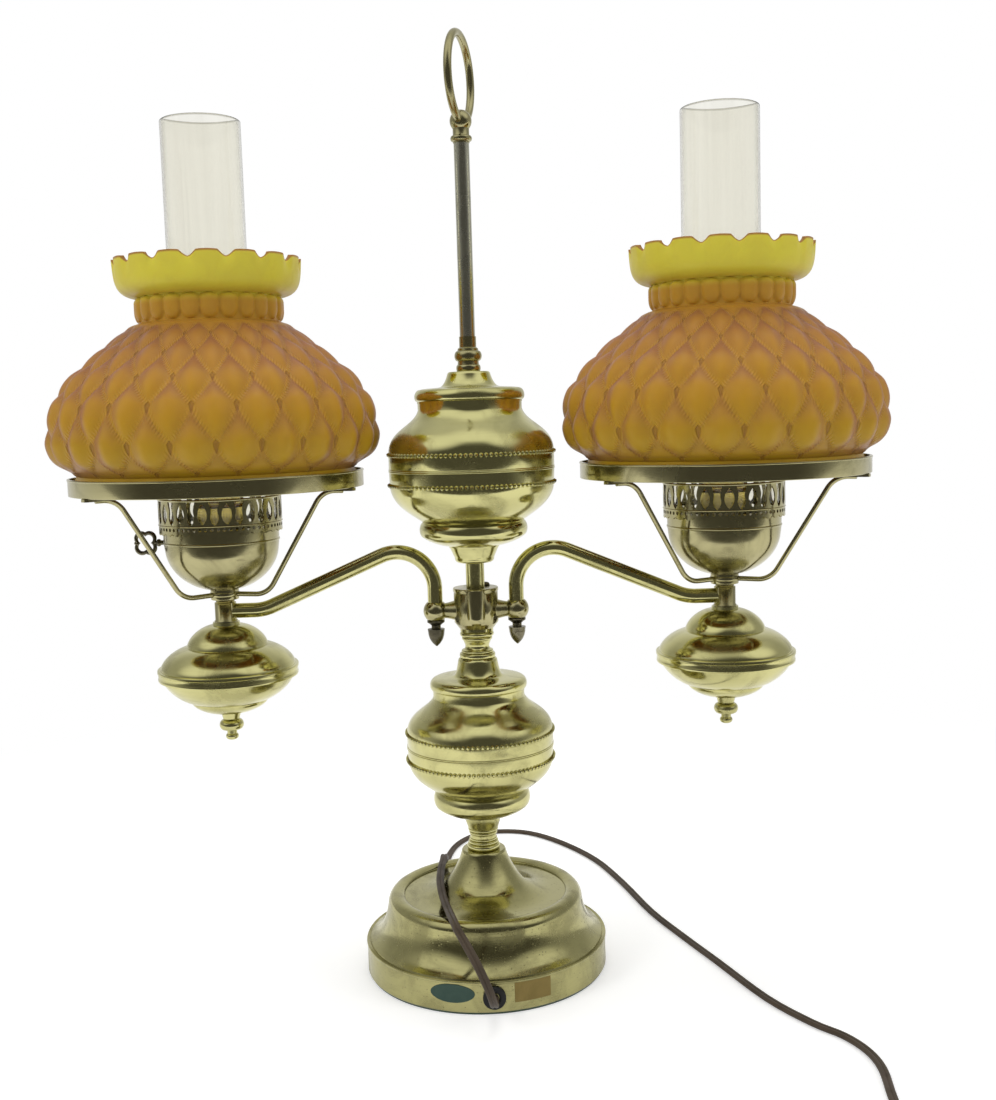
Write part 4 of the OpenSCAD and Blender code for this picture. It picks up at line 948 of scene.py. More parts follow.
@dataclass
class MainsCord(Part):
    """Flat twin cord: over the base, round the table and into its coil, with a tie and a plug."""

    width: float = 5.2
    thick: float = 2.9
    route: tuple[tuple[float, float, float, float], ...] = (
        (4, -75, 11, 0), (4, -83, 11, 0), (4, -90.7, 12.2, 18), (3.7, -97.7, 15.8, 36), (2.8, -103.2, 21.4, 54),
        (1.2, -106.8, 28.4, 72), (-1.5, -108, 36, 90), (-5, -107, 43.8, 108), (-9, -103.3, 50.5, 126),
        (-13, -97.5, 55.8, 144), (-16.5, -89.5, 58.8, 162), (-19, -78, 59.5, 176), (-21, -65, 58, 180),
        (-23, -50, 55.8, 180), (-26.5, -28, 55, 180), (-29, -4, 56, 180), (-29.2, 20, 55.6, 180),
        (-28.2, 42, 54.6, 180), (-28, 56, 52.5, 180), (-28, 70, 45.5, 180), (-28.5, 82, 35.5, 180),
        (-29, 94, 24, 180), (-29.5, 108, 12.5, 180), (-30, 126, 4.5, 180), (-30.5, 150, 1.9, 180),
        (-31, 176, 1.7, 180), (-29, 202, 1.7, 180), (-22, 228, 1.7, 180), (-8, 248, 1.7, 180), (12, 256, 1.7, 180),
        (38, 249, 1.7, 180), (64, 221, 1.7, 180), (88, 178, 1.7, 180), (104, 126, 1.7, 180), (118, 68, 1.7, 180),
        (134, 22, 1.7, 180), (149, -18, 1.7, 180), (169, -72, 1.7, 180), (188, -105, 1.7, 180), (202, -122, 1.7, 180),
        (210, -140, 1.7, 180), (212, -160, 1.7, 180), (208, -190, 1.7, 180), (206, -220, 2, 180), (206, -250, 2.3, 180),
    )
    steps: int = 4
    coil_r: float = 36
    coil_turns: float = 4.25
    coil_gap: float = 0.7
    coil_rings: int = 40
    tail: float = 34
    tail_steps: int = 6
    plug_len: float = 28
    plug_w: float = 23
    grips: int = 4
    grip_pitch: float = 3.2
    blade: Triple = (18, 1.5, 6.4)
    blade_y: float = 6.35

    def smooth_route(self) -> list[tuple[float, ...]]:
        """Points and leans of a smooth line through the route.

        Returns:
            The points, in millimetres and degrees.
        """
        rows = [Vector(p) for p in self.route]
        rows = [2 * rows[0] - rows[1]] + rows + [2 * rows[-1] - rows[-2]]
        out = []
        for a, b, c, d in zip(rows, rows[1:], rows[2:], rows[3:]):
            for k in range(self.steps):
                t = k / self.steps
                p = 2 * b + (c - a) * t + (2 * a - 5 * b + 4 * c - d) * t**2 + (3 * b - a - 3 * c + d) * t**3
                out.append(tuple(p / 2))
        return out

    def coil_point(self, turn: float) -> tuple[float, ...]:
        """A point of the coil, which winds in, climbs and winds out on top.

        Args:
            turn: Turns from its start.

        Returns:
            The point and its lean.
        """
        x, y, low, _ = self.route[-1]
        half = self.coil_turns / 2
        r = self.coil_r - (self.width + self.coil_gap) * (half - abs(turn - half))
        climb = min(1.0, max(0.0, 2 * (turn - half) + 0.5))
        z = low + (self.thick + self.coil_gap) * climb * climb * (3 - 2 * climb)
        a = -math.tau * turn
        return x - self.coil_r + r * math.cos(a), y + r * math.sin(a), z, 180.0

    def line(self) -> list[tuple[float, ...]]:
        """All points of the cord, from the bushing to the plug.

        Returns:
            Points and leans.
        """
        count = int(self.coil_turns * self.coil_rings)
        out = self.smooth_route() + [self.coil_point(i / self.coil_rings) for i in range(count + 1)]
        x, y, z, lean = out[-1]
        steps = range(1, self.tail_steps + 1)
        return out + [(x - self.tail * i / self.tail_steps, y, z, lean) for i in steps]

    def build(self) -> None:
        """Make the cord, its tie and its plug."""
        rows = self.line()
        path = [Vector(p[:3]) * MM for p in rows]
        over = [Vector((0, -math.sin(math.radians(p[3])), -math.cos(math.radians(p[3])))) for p in rows]
        r = self.thick / 2
        lobe = self.width / 2 - r
        waist = math.degrees(math.acos(lobe / r))
        right = arc((lobe, 0), r, waist - 180, 180 - waist, 10)[:-1]
        section = [(a * MM, b * MM) for a, b in right + [(-a, -b) for a, b in right]]
        bm, nodes = sweep(section, frames_of(path, over)), ("cord_lead", "cord_coil")
        cord = settle(bm, "mains_cord", self.finishes.cord, "cord", nodes, crease=60)
        plug = self.plug(rows[-1])
        dress("cord_tie", self.finishes.tie)

    def plug(self, end: Sequence[float]) -> bpy.types.Object:
        """Make the flat two-blade plug.

        Args:
            end: The cord's last point.

        Returns:
            The plug's body; its blades are a piece of their own.
        """
        x, y, z = end[:3]
        thick = 2 * z - 0.2
        bm = bmesh.new()
        box(bm, (x - self.plug_len / 2, y, z), (self.plug_len, self.plug_w, thick))
        back = max(bm.faces, key=lambda f: f.calc_center_median().x)
        sides = [e for e in bm.edges if abs((e.verts[0].co - e.verts[1].co).normalized().x) > 0.9]
        bmesh.ops.inset_region(bm, faces=[back], thickness=0.0025, depth=0.0)
        bevel(bm, sides, 2.6, 4)
        bevel(bm, [e for e in bm.edges if len(e.link_faces) == 2 and e.calc_face_angle(0) > 0.7], 0.8, 2)
        grips, blades = bmesh.new(), bmesh.new()
        for i in range(self.grips):
            for up in (-1, 1):
                spot = (x - 6 - self.grip_pitch * i, y, z + up * (thick / 2 - 0.42))
                box(grips, spot, (1.4, 0.6 * self.plug_w, 0.9))
        plug = settle(merged(bm, grips), "plug_body", self.finishes.cord, "cord", ("plug",), crease=45)
        for side in (-1, 1):
            box(blades, (x - self.plug_len - 8, y + side * self.blade_y, z), self.blade)
        bevel(blades, blades.edges[:], 0.5, 2)
        settle(blades, "plug_blades", self.finishes.socket_brass, "socket_brass")
        return plug


# Base


@dataclass
class Base(Part):
    """Weighted base: spun skirt and cone, felt, bushing and two blank patches."""

    r: float = 78
    band_top: float = 21
    crest: float = 50.6
    crest_r: float = 57
    recess_r: float = 52.5
    recess: float = 47
    felt: float = 1.5
    cone_top: Point = (14.2, 77.2)
    bushing: Triple = (4, -78.05, 11)
    bushing_r: float = 5.2
    bushing_hole: float = 2.9

    def skirt_line(self) -> Line:
        """Outer line of the skirt: band, swept shoulder, crest and lip.

        Returns:
            The line, upwards.
        """
        r, band, crest = self.r, self.band_top, (self.crest_r, self.crest)
        cove, ogee = (r - 2.3, band + 0.3), (crest[0] + 6.2, crest[1] - 5.8)
        x, z = self.recess_r + 0.05, self.recess
        return join(
            [(r - 0.4, self.felt), (r, self.felt + 0.5)],
            bead(r - 0.1, band - 2.0, 1.9, 0.5, 8),
            [(r - 1.2, band - 0.7), (r - 1.9, band - 0.7)],
            curve(cove, (cove[0] - 8, cove[1] + 4), (ogee[0] + 1.4, ogee[1] - 11), ogee, 24),
            curve(ogee, (ogee[0] - 0.5, ogee[1] + 3.6), (crest[0] + 3.4, crest[1]), crest, 14),
            curve(crest, (crest[0] - 2, crest[1]), (x, z + 2.6), (x, z + 1.4), 10),
            [(x, z), (x - 6, z)],
        )

    def cone_line(self) -> Line:
        """Outer line of the cone in the recess.

        Returns:
            The line, inwards and upwards.
        """
        x, z = self.recess_r - 0.05, self.recess + SHEET
        knee, top = (27.3, z + 5.51), self.cone_top
        return join(
            [(x, z), (x - 6, z)],
            curve((x - 6, z), (x - 15, z), (knee[0] + 4.5, knee[1] - 3), knee, 12),
            curve(knee, (knee[0] - 5, knee[1] + 4), (top[0] + 1.6, top[1] - 8), (top[0], top[1] - 0.6), 18),
            [(top[0] - 0.6, top[1]), (STEM_HOLE, top[1])],
        )

    def patch(self, name: str, x: float, z: float, size: Point, oval: bool, material: Material) -> None:
        """Lay a thin blank patch on the band.

        Args:
            name: Name of the piece.
            x: Place of its middle along X, in millimetres.
            z: Height of its middle.
            size: Width and height.
            oval: Whether it is an oval.
            material: Its finish.
        """
        bm = bmesh.new()
        bmesh.ops.create_grid(bm, x_segments=20, y_segments=8, size=1.0)
        for v in bm.verts:
            u, w = v.co.x, v.co.y
            if oval:
                u, w = u * math.sqrt(1 - w * w / 2), w * math.sqrt(1 - u * u / 2)
            v.co = Vector((u * size[0] / 2 * MM, 0.00005, w * size[1] / 2 * MM + z * MM))
        thicken(bm, 0.00018)
        settle(wrapped(bm, self.r, -math.pi / 2 + math.asin(x / self.r)), name, material)

    def build(self) -> None:
        """Make the base's pieces."""
        looks, hole, w = self.finishes, self.bushing_hole, self.bushing_r
        skirt = lathe(walled(self.skirt_line()), 160, closed=True)
        settle(skirt, "base_skirt_shell", looks.base_brass, "brass", ("base_skirt",))
        cone = lathe(walled(self.cone_line()), 128, closed=True)
        settle(cone, "base_cone_shell", looks.base_brass, "brass", ("base_cone",))
        felt = [(0, 0), (self.r - 1.3, 0), (self.r - 1, 0.4), (self.r - 1, self.felt), (0, self.felt)]
        settle(lathe(felt, 128), "base_felt_pad", looks.felt, "felt", ("base_felt",))
        ring = join(
            [(hole, -6), (w, -6), (w, 0), (w + 1.8, 0), (w + 1.8, 1.2)],
            arc((w + 1, 1.2), 0.8, 0, 90, 5),
            arc((w - 0.7, 0.8), 1.2, 90, 150, 6),
            [(hole, 0)],
        )
        bushing = lathe(ring, 48, closed=True)
        turn = Matrix.Translation(Vector(self.bushing) * MM) @ Matrix.Rotation(math.pi / 2, 4, "X")
        bmesh.ops.transform(bushing, matrix=turn, verts=bushing.verts[:])
        settle(bushing, "cord_grommet", looks.rubber, "bushing", ("cord_bushing",))
        self.patch("oval_patch", -21.5, 13.2, (28, 11.5), True, looks.green_patch)
        self.patch("square_patch", 27.6, 13.0, (23.5, 12.3), False, looks.tan_patch)
        dress("base_weight", looks.iron)
        dress("base_locknut", looks.steel)
        dress("stem_rod", looks.rod_brass)


# Column


@dataclass
class Vase(Part):
    """One bellied vase: lower half, upper half and cap, with two rows of beads."""

    name: str
    z: float
    sole_r: float
    foot_r: float
    foot_h: float
    r: float
    bowl_h: float
    neck_r: float
    dome_h: float
    rim_h: float
    cone_r: float
    top_r: float
    cap_h: float
    rows: Point
    beads: int
    bead_r: float = 1.5

    def low_line(self) -> Line:
        """Outer line of the lower half.

        Returns:
            The line from the sole to the seam.
        """
        z, w, h, r, bowl = self.z, self.foot_r, self.foot_h, self.r, self.bowl_h
        sole, foot, groove, seam = (self.sole_r, z), (w - 2.6, z + 0.36 * h), (w - 2.4, z + h), z + h + bowl
        belly = (r - 0.5, seam - 0.3 * bowl)
        return join(
            [(STEM_HOLE, z), sole],
            curve(sole, (sole[0] + 5, z + 0.3), (w - 5, z + 0.22 * h), foot, 8),
            curve(foot, (w + 0.6, z + 0.44 * h), (w + 0.7, z + 0.86 * h), groove, 16),
            curve(groove, (groove[0] + 7, groove[1] + 5), (r - 1.2, seam - 0.66 * bowl), belly, 24),
            [(r - 0.2, seam - 1.2)],
            bead(r - 0.2, seam - 1.0, 1.0, 0.35, 6),
        )

    def high_line(self) -> Line:
        """Outer line of the upper half.

        Returns:
            The line from the seam to the neck.
        """
        z, h, r = self.z + self.foot_h + self.bowl_h, self.dome_h, self.r
        brow, neck = (r - 0.2, z + 0.26 * h), (self.neck_r, z + 0.9 * h)
        return join(
            bead(r - 0.2, z, 1.0, 0.35, 6),
            [(r - 0.1, z + 1.2), brow],
            curve(brow, (brow[0] - 0.4, brow[1] + 0.36 * h), (neck[0] + 3, neck[1] - 0.24 * h), neck, 26),
            [(neck[0], z + h)],
        )

    def cap_line(self) -> Line:
        """Outer line of the cap.

        Returns:
            The line from the rolled rim to the top.
        """
        z, w, h = self.z + self.foot_h + self.bowl_h + self.dome_h, self.neck_r, self.rim_h
        start, brim, rim_r = (w + 0.3, z + 0.14 * h), (w - 0.6, z + h), w + 1.9
        foot, top = (self.cone_r, z + h + 1.4), (self.top_r, z + h + self.cap_h)
        return join(
            [(start[0], z), start],
            curve(start, (rim_r + 0.7, z + 0.2 * h), (rim_r + 0.5, z + 0.86 * h), brim, 14),
            curve(brim, (brim[0] - 4, brim[1] + 1), (foot[0] + 3, foot[1] - 0.6), foot, 8),
            curve(foot, (foot[0] - 2.6, foot[1] + 0.5), (top[0] + 0.8, top[1] - 4), (top[0], top[1] - 0.8), 12),
            [(top[0] - 0.8, top[1]), (STEM_HOLE, top[1])],
        )

    def build(self) -> None:
        """Make the vase's pieces."""
        lines = {"bottom": self.low_line(), "top": self.high_line(), "cap": self.cap_line()}
        for i, (part, line) in enumerate(lines.items()):
            bm = lathe(walled(line), 144, closed=True)
            if i < len(self.rows):
                bm = merged(bm, bead_row(self.r - 0.2, self.rows[i], self.bead_r, self.beads))
            name = f"{self.name}_vase_{part}"
            settle(bm, f"{name}_shell", self.finishes.brass, "brass", (name,))


@dataclass
class Column(Part):
    """Vases, necks, hub, tube and seat between the base and the carrying rod."""

    neck_z: float = 77.2
    neck_h: float = 22.8
    neck_r: float = 8.4
    hub_neck_z: float = 203.5
    hub_neck_h: float = 19.5
    hub_neck_r: float = 7.4
    hub_top: float = 249.1
    rib_r: float = 6.6
    rib_y: float = -9.2
    rib_z: float = 230.7
    seat_hole: float = 5.35
    tube_r: float = 5.9
    tube_z: Point = (231.9, 393.7)
    seat_z: float = 265.1
    seat_h: float = 11.2

    def vases(self) -> tuple[Vase, Vase]:
        """The lower and the upper vase."""
        lower = Vase(
            self.finishes, "lower", z=100, sole_r=12.8, foot_r=31.5, foot_h=17.3, r=47.4, bowl_h=29.5, neck_r=29.4,
            dome_h=35.7, rim_h=8, cone_r=16.4, top_r=12.4, cap_h=13, rows=(138.5, 156), beads=98,
        )
        upper = Vase(
            self.finishes, "upper", z=276.3, sole_r=16.35, foot_r=34.5, foot_h=15.7, r=52.5, bowl_h=33, neck_r=32.8,
            dome_h=41.5, rim_h=8.5, cone_r=18.8, top_r=13.4, cap_h=10.7, rows=(315.7, 335), beads=108,
        )
        return lower, upper

    def neck_line(self) -> Line:
        """Outer line of the neck on the base.

        Returns:
            The line, upwards.
        """
        z, h, w = self.neck_z, self.neck_h, self.neck_r
        return join(
            [(STEM_HOLE, z)],
            bead(w + 1.2, z, 0.16 * h, 1.1),
            bead(w + 0.6, z + 0.16 * h, 0.1 * h, 0.7),
            bead(w + 0.1, z + 0.26 * h, 0.08 * h, 0.5),
            [(w, z + 0.37 * h)],
            bead(w + 0.3, z + 0.44 * h, 0.08 * h, 0.5),
            bead(w + 0.8, z + 0.53 * h, 0.09 * h, 0.6),
            curve((w + 1.5, z + 0.63 * h), (w + 2.2, z + 0.75 * h), (w + 3.4, z + 0.86 * h), (w + 3.8, z + h), 10),
            [(STEM_HOLE, z + h)],
        )

    def hub_neck_line(self) -> Line:
        """Outer line of the neck under the hub.

        Returns:
            The line, upwards.
        """
        z, h, w = self.hub_neck_z, self.hub_neck_h, self.hub_neck_r
        return join(
            [(STEM_HOLE, z)],
            bead(w + 3.2, z, 0.18 * h, 0.9),
            bead(w + 2, z + 0.18 * h, 0.1 * h, 0.8),
            curve((w + 1.4, z + 0.29 * h), (w, z + 0.34 * h), (w, z + 0.42 * h), (w + 1, z + 0.52 * h), 10),
            bead(w + 1.6, z + 0.6 * h, 0.12 * h, 0.8),
            bead(w + 2.5, z + 0.73 * h, 0.14 * h, 1),
            [(w + 3.2, z + 0.9 * h), (w + 3.2, z + h), (STEM_HOLE, z + h)],
        )

    def seat_line(self) -> Line:
        """Closed section of the seat under the upper vase.

        Returns:
            The section.
        """
        r, z, h = self.seat_hole, self.seat_z, self.seat_h
        return join(
            [(r, z)],
            curve((r + 3, z), (r + 5.5, z), (r + 7, z + 0.8), (r + 7.2, z + 2.5), 8),
            curve((r + 7.3, z + 3.5), (r + 8.4, z + 0.5 * h), (r + 9.4, z + h - 2.5), (r + 11, z + h - 0.4), 10),
            [(r + 11, z + h), (r, z + h)],
        )

    def build(self) -> None:
        """Make the column's pieces."""
        looks, w, top = self.finishes, self.rib_r, self.hub_top
        for name, line in (("base_neck", self.neck_line()), ("hub_neck", self.hub_neck_line())):
            settle(lathe(line, 96, closed=True), f"{name}_turned", looks.brass, "brass", (name,))
        for vase in self.vases():
            vase.build()
        rib = join(arc((0, self.rib_z), w, -90, 0, 10), arc((w - 1, top - 1), 1, 0, 90, 5), [(0, top)])
        hub = merged(from_node("hub"), shift(lathe(rib, 48), y=self.rib_y))
        settle(hub, "hub_casting", looks.aged_brass, "brass", ("hub",), crease=28)
        screw = from_node("hub_screw")
        settle(screw, "hub_screw_head", looks.dark_brass, "dark_brass", ("hub_screw",), crease=30)
        low, high = self.tube_z
        tube = join(arc((0, low), self.tube_r, -90, 0, 10), [(self.tube_r, high), (0, high)])
        settle(lathe(tube, 64), "stem_tube_drawn", looks.brass, "brass", ("stem_tube",))
        seat = lathe(self.seat_line(), 96, closed=True)
        settle(seat, "upper_seat_turned", looks.brass, "brass", ("upper_vase_seat",))


@dataclass
class CarryingRod(Part):
    """Turned collar, dark rod, ball finial and ring handle."""

    z: float = 385.7
    collar_h: float = 21.8
    rod_r: float = 4.8
    rod_len: float = 118
    finial_r: float = 5.1
    ball_r: float = 6.8
    ball_up: float = 6.5
    ring_r: float = 26
    ring_steps: int = 96
    wire_r: float = 2.5
    turn: float = 75

    def build(self) -> None:
        """Make the rod's pieces."""
        looks, z, h, w = self.finishes, self.z, self.collar_h, self.finial_r
        collar = join(
            [(0, z)],
            bead(6.8, z, 0.2 * h, 0.9),
            [(6.6, z + 0.26 * h)],
            bead(6.6, z + 0.3 * h, 0.3 * h, 2),
            [(6.4, z + 0.66 * h), (5.3, z + 0.7 * h), (5.3, z + h), (0, z + h)],
        )
        settle(lathe(collar, 80), "rod_collar_turned", looks.aged_brass, "brass", ("rod_collar",))
        low, top = z + h, z + h + self.rod_len
        rod = [(0, low), (self.rod_r, low), (self.rod_r, top), (0, top)]
        settle(lathe(rod, 64), "carry_rod_bar", looks.dark_rod, "dark_brass", ("carry_rod",))
        ball_z = top + self.ball_up + self.ball_r
        neck = math.degrees(math.asin(w / self.ball_r))
        finial = join(
            [(0, top), (w, top), (w, top + 0.8)],
            bead(5.4, top + 1, 3.4, 1.3),
            [(w, top + 5)],
            arc((0, ball_z), self.ball_r, neck - 90, 90, 20),
        )
        settle(lathe(finial, 80), "ring_finial_turned", looks.aged_brass, "brass", ("ring_finial",))
        a, r = math.radians(self.turn), self.ring_r
        middle = Vector((0, 0, ball_z + r)) * MM
        out, up = Vector((math.cos(a), math.sin(a), 0)) * r * MM, Vector((0, 0, r * MM))
        turns = [math.tau * i / self.ring_steps for i in range(self.ring_steps)]
        ring = wire_ring([middle + out * math.cos(t) + up * math.sin(t) for t in turns], self.wire_r, 20)
        settle(ring, "ring_handle_wire", looks.aged_brass, "brass", ("ring_handle",))


# Side arms and lamp heads


@dataclass
class SideArm(Part):
    """One bent arm tube with its acorn nut and coupling."""

    side: Side
    ball: Point = (26, 234.5)
    r: float = 4.75
    bend: float = 24
    bend_z: float = 249
    slope: float = 23
    toe: float = 30
    toe_x: float = 141.5
    end: Point = (155.7, 238.8)

    def build(self) -> None:
        """Make the arm's pieces."""
        looks, word, (x, z) = self.finishes, self.side.word, self.ball
        line = join(
            [(x, z - 3.7), (x, z + 8)],
            arc((x + self.bend, self.bend_z), self.bend, 180, 90 - self.slope, 30),
            arc((self.toe_x, self.end[1] + self.toe), self.toe, 270 - self.slope, 270, 10),
            [self.end],
        )
        arm, nut, coupling = f"{word}_arm", f"{word}_acorn_nut", f"{word}_coupling"
        tube = bent_tube(line, self.r, 28, self.side.value)
        settle(tube, f"{arm}_tube", looks.brass, "brass", (arm,), arm)
        settle(from_node(nut), f"{nut}_turned", looks.dark_brass, "dark_brass", (nut,), crease=28)
        settle(from_node(coupling), f"{coupling}_turned", looks.aged_brass, "brass", (coupling,), arm, 28)
        dress(f"{word}_nipple", looks.rod_brass)


@dataclass
class LampHead(Part):
    """One lamp head: font, holder, cup, socket, gallery, key and shade ring."""

    side: Side
    holder_turn: float
    key_turn: float
    hole: float = 4.3
    font_r: float = 44
    seam_z: float = 200.5
    low_z: float = 173.5
    top_z: float = 232
    drop_h: float = 18.5
    holder_z: float = 246.5
    wire_r: float = 1.6
    tab: Triple = (14, 7, 1.8)
    tab_at: Triple = (85, 0, 315.6)
    cup_z: float = 253.4
    cup_r: float = 36
    cup_h: float = 38.1
    gallery_r: float = 38.3
    gallery_h: float = 21
    gallery_wall: float = 0.9
    hole_r: float = 1.1
    motifs: int = 16
    socket_z: float = 257.4
    socket_r: float = 15.1
    ring_z: float = 316.5
    ring_r: float = 91
    key_z: float = 283.9
    key_wire: float = 1.4

    def piece(self, node: str, ending: str, bm: Mesh, look: Material, slot: str = "brass", **more: object) -> None:
        """Settle a piece that rides on the arm.

        Args:
            node: The node that it stands for, without its side.
            ending: End of the piece's name.
            bm: The mesh, about the head's own axis.
            look: Its finish.
            slot: The record's material slot; handed on to settle, which does not use it.
            more: Other arguments of settle.
        """
        node = f"{self.side.word}_{node}"
        settle(bm, f"{node}_{ending}", look, slot, (node,), **{"body": f"{self.side.word}_arm", **more})

    def turned(self, node: str, line: Line, look: Material, slot: str = "brass", steps: int = 112) -> None:
        """Settle a closed section spun round the head's axis in a number of steps."""
        self.piece(node, "turned", lathe(line, steps, True, self.side.at), look, slot)

    def font(self) -> None:
        """Make the font's two halves and the drop finial."""
        look, r, z, top, low = self.finishes.brass, self.font_r, self.seam_z, self.top_z, self.low_z
        h = top - z
        x, y = r - 18.5, z + 0.52 * h
        upper = join(
            [(r, z), (r, z + 0.8), (r + 0.5, z + 1.2), (r + 0.5, z + 2.5), (r + 0.3, z + 2.9), (r - 0.4, z + 3)],
            curve((r - 1.4, z + 3.2), (r - 2, z + 0.24 * h), (x + 9.5, y - 1.8), (x, y), 20),
            curve((x - 0.3, y + 1.4), (x - 2, y + 0.22 * h), (16, top - 2.2), (8.8, top - 1.8), 16),
            [(8.4, top), (self.hole, top)],
        )
        self.turned("font_top", walled(upper), look)
        h = z - low
        x, y = r - 20, low + 0.29 * h
        under = join(
            [(self.hole, low), (8.5, low)],
            curve((8.5, low), (15, low + 0.4), (x - 2, y - 4), (x - 0.2, y - 1.2), 14),
            curve((x, y), (x + 8, y + 2.6), (r - 5.5, z - 0.4 * h), (r - 2.4, z - 4.4), 18),
            [(r + 0.1, z - 3.7), (r + 0.2, z - 3.4), (r + 0.2, z - 2.4), (r, z - 2), (r, z)],
        )
        self.turned("font_bottom", walled(under), look)
        z, h = low - self.drop_h, self.drop_h
        drop = join(
            [(0.01, z)],
            curve((1.5, z), (4.6, z + 0.3), (4.6, z + 0.18 * h), (3.1, z + 0.22 * h), 10),
            [(3.1, z + 0.33 * h)],
            bead(5, z + 0.36 * h, 0.36 * h, 2.7, 14),
            [(5.3, z + 0.76 * h), (6.4, z + h), (0.01, z + h)],
        )
        self.turned("drop_finial", drop, look, steps=64)

    def holder(self) -> None:
        """Make the collar with its three sprung wires and tabs."""
        z = self.holder_z
        collar = join(
            [(4.1, z), (8.4, z)],
            arc((8.4, z + 0.5), 0.5, -90, 0, 3),
            bead(8.9, z + 2.0, 2.9, 0.5, 8),
            arc((8.4, z + 6.4), 0.5, 0, 90, 3),
            [(4.1, z + 6.9)],
        )
        line = join(
            [(5.5, z + 3.45)],
            arc((21.8, z + 18.45), 15, 270, 328, 14),
            arc((79, 299.9), 15, 148, 90, 14),
            [(84, 314.9)],
        )
        tab = bmesh.new()
        box(tab, self.tab_at, self.tab)
        bevel(tab, [e for e in tab.edges if abs(e.verts[0].co.z - e.verts[1].co.z) > MM], 2, 5)
        arms = ring_of(merged(bent_tube(line, self.wire_r, 14), tab), 3)
        turn = Matrix.Rotation(math.radians(self.holder_turn), 3, "Z")
        bmesh.ops.rotate(arms, cent=(0, 0, 0), matrix=turn, verts=arms.verts[:])
        bm = shift(merged(lathe(collar, 72, True), arms), self.side.at)
        self.piece("holder", "wires", bm, self.finishes.aged_brass)

    def cup(self) -> None:
        """Make the cup, the socket and the shade ring."""
        look, z, r, h = self.finishes.aged_brass, self.cup_z, self.cup_r, self.cup_h
        line = join(
            [(self.hole, z), (10.5, z)],
            curve((10.5, z), (r - 12, z + 0.08 * h), (r - 2, z + 0.36 * h), (r - 0.8, z + 0.64 * h), 24),
            [(r - 0.1, z + 0.78 * h)],
            bead(r - 0.1, z + 0.79 * h, 1.6, 0.5, 6),
            [(r, z + 0.86 * h), (r, z + h)],
        )
        self.turned("cup", walled(line), look, steps=128)
        z, r = self.socket_z, self.socket_r
        shell = join(
            [(4.05, z), (9, z), (14.1, z + 6), (r, z + 8)],
            bead(r, z + 12, 2, 0.5, 6),
            bead(r, z + 20, 2, 0.5, 6),
            [(r, z + 48)],
            bead(15.6, z + 48.2, 1.8, 1.2, 6),
            [(13.3, z + 50), (13.3, z + 31), (4.05, z + 31)],
        )
        self.turned("socket", shell, self.finishes.socket_brass, "socket_brass", 80)
        z, r = self.ring_z, self.ring_r
        ring = join(
            [(r - 7.4, z), (r - 0.4, z)],
            arc((r - 0.4, z + 0.4), 0.4, -90, 0, 3),
            [(r, z + 9)],
            bead(r, z + 9.2, 1.2, 0.4, 6),
            [(r - 1.4, z + 10.4), (r - 1.4, z + 1.4), (r - 7.4, z + 1.4)],
        )
        self.turned("shade_ring", ring, look, steps=160)

    def motif(self, r: float, low: float, top: float) -> Mesh:
        """One flat motif of the gallery with its openings.

        Args:
            r: Radius that it is bent to, in millimetres.
            low: Height of its foot.
            top: Height of its rim.

        Returns:
            The sheet, with its depth.
        """
        wide, steps = math.tau * r / self.motifs, 24
        edge = [-wide / 2 + wide * i / steps for i in range(steps + 1)]
        skirt = [(x, low - 1.6 + 1.5 * abs(math.sin(2 * math.pi * x / wide)) ** 2.5) for x in edge]
        leaf = curve((0, 5.5), (4, 8.5), (4.2, 14), (0, 18.5), 10)
        stem, bell = [(0, 5), (1.6, 6.6)], curve((2.5, 9), (2.8, 11.5), (1.4, 13), (2.2, 16), 8)
        outlines = [skirt + [(x, top) for x in edge[::-1]]]
        for x, half in ((-wide / 4, leaf), (wide / 4, join(stem, bell, [(2.8, 18.2), (3.2, 19.6)]))):
            right = [(x + a, low + b) for a, b in half]
            outlines.append(right + [(x - a, low + b) for a, b in half[::-1] if a > 0])
            for off in (-wide / 8, wide / 8):
                outlines.append(arc((x + off, low + 2.4), self.hole_r, 0, 360, 12)[:-1])
        bm = bmesh.new()
        for points in outlines:
            verts = [bm.verts.new((x * MM, 0, z * MM)) for x, z in points]
            for i, v in enumerate(verts):
                bm.edges.new((v, verts[i - 1]))
        bmesh.ops.triangle_fill(bm, edges=bm.edges[:], use_beauty=True, use_dissolve=False)
        thicken(bm, -self.gallery_wall * MM)
        return bm

    def gallery(self) -> None:
        """Make the pierced gallery: one motif, bent and repeated, with its foot, fold and rim."""
        r, low = self.gallery_r, self.cup_z + self.cup_h
        top = low + self.gallery_h
        wall = ring_of(wrapped(self.motif(r, low, top), r, 0.0), self.motifs)
        bmesh.ops.remove_doubles(wall, verts=wall.verts[:], dist=10 * WELD)
        foot = [(23.1, low + 0.02), (r - 0.8, low + 0.02), (r - 0.8, low + 1), (23.1, low + 1)]
        fold = join([(r - 0.6, low + 4)], bead(r - 0.2, low + 4, 0.9, 0.6, 6), [(r - 0.6, low + 4.9)])
        rim = join([(r - 0.9, top - 1.2)], bead(r - 0.1, top - 1.3, 1.4, 0.5, 6), [(r - 0.9, top)])
        bm = merged(wall, *(lathe(line, 96, True) for line in (foot, fold, rim)))
        self.piece("gallery", "pierced", shift(bm, self.side.at), self.finishes.aged_brass, crease=30)

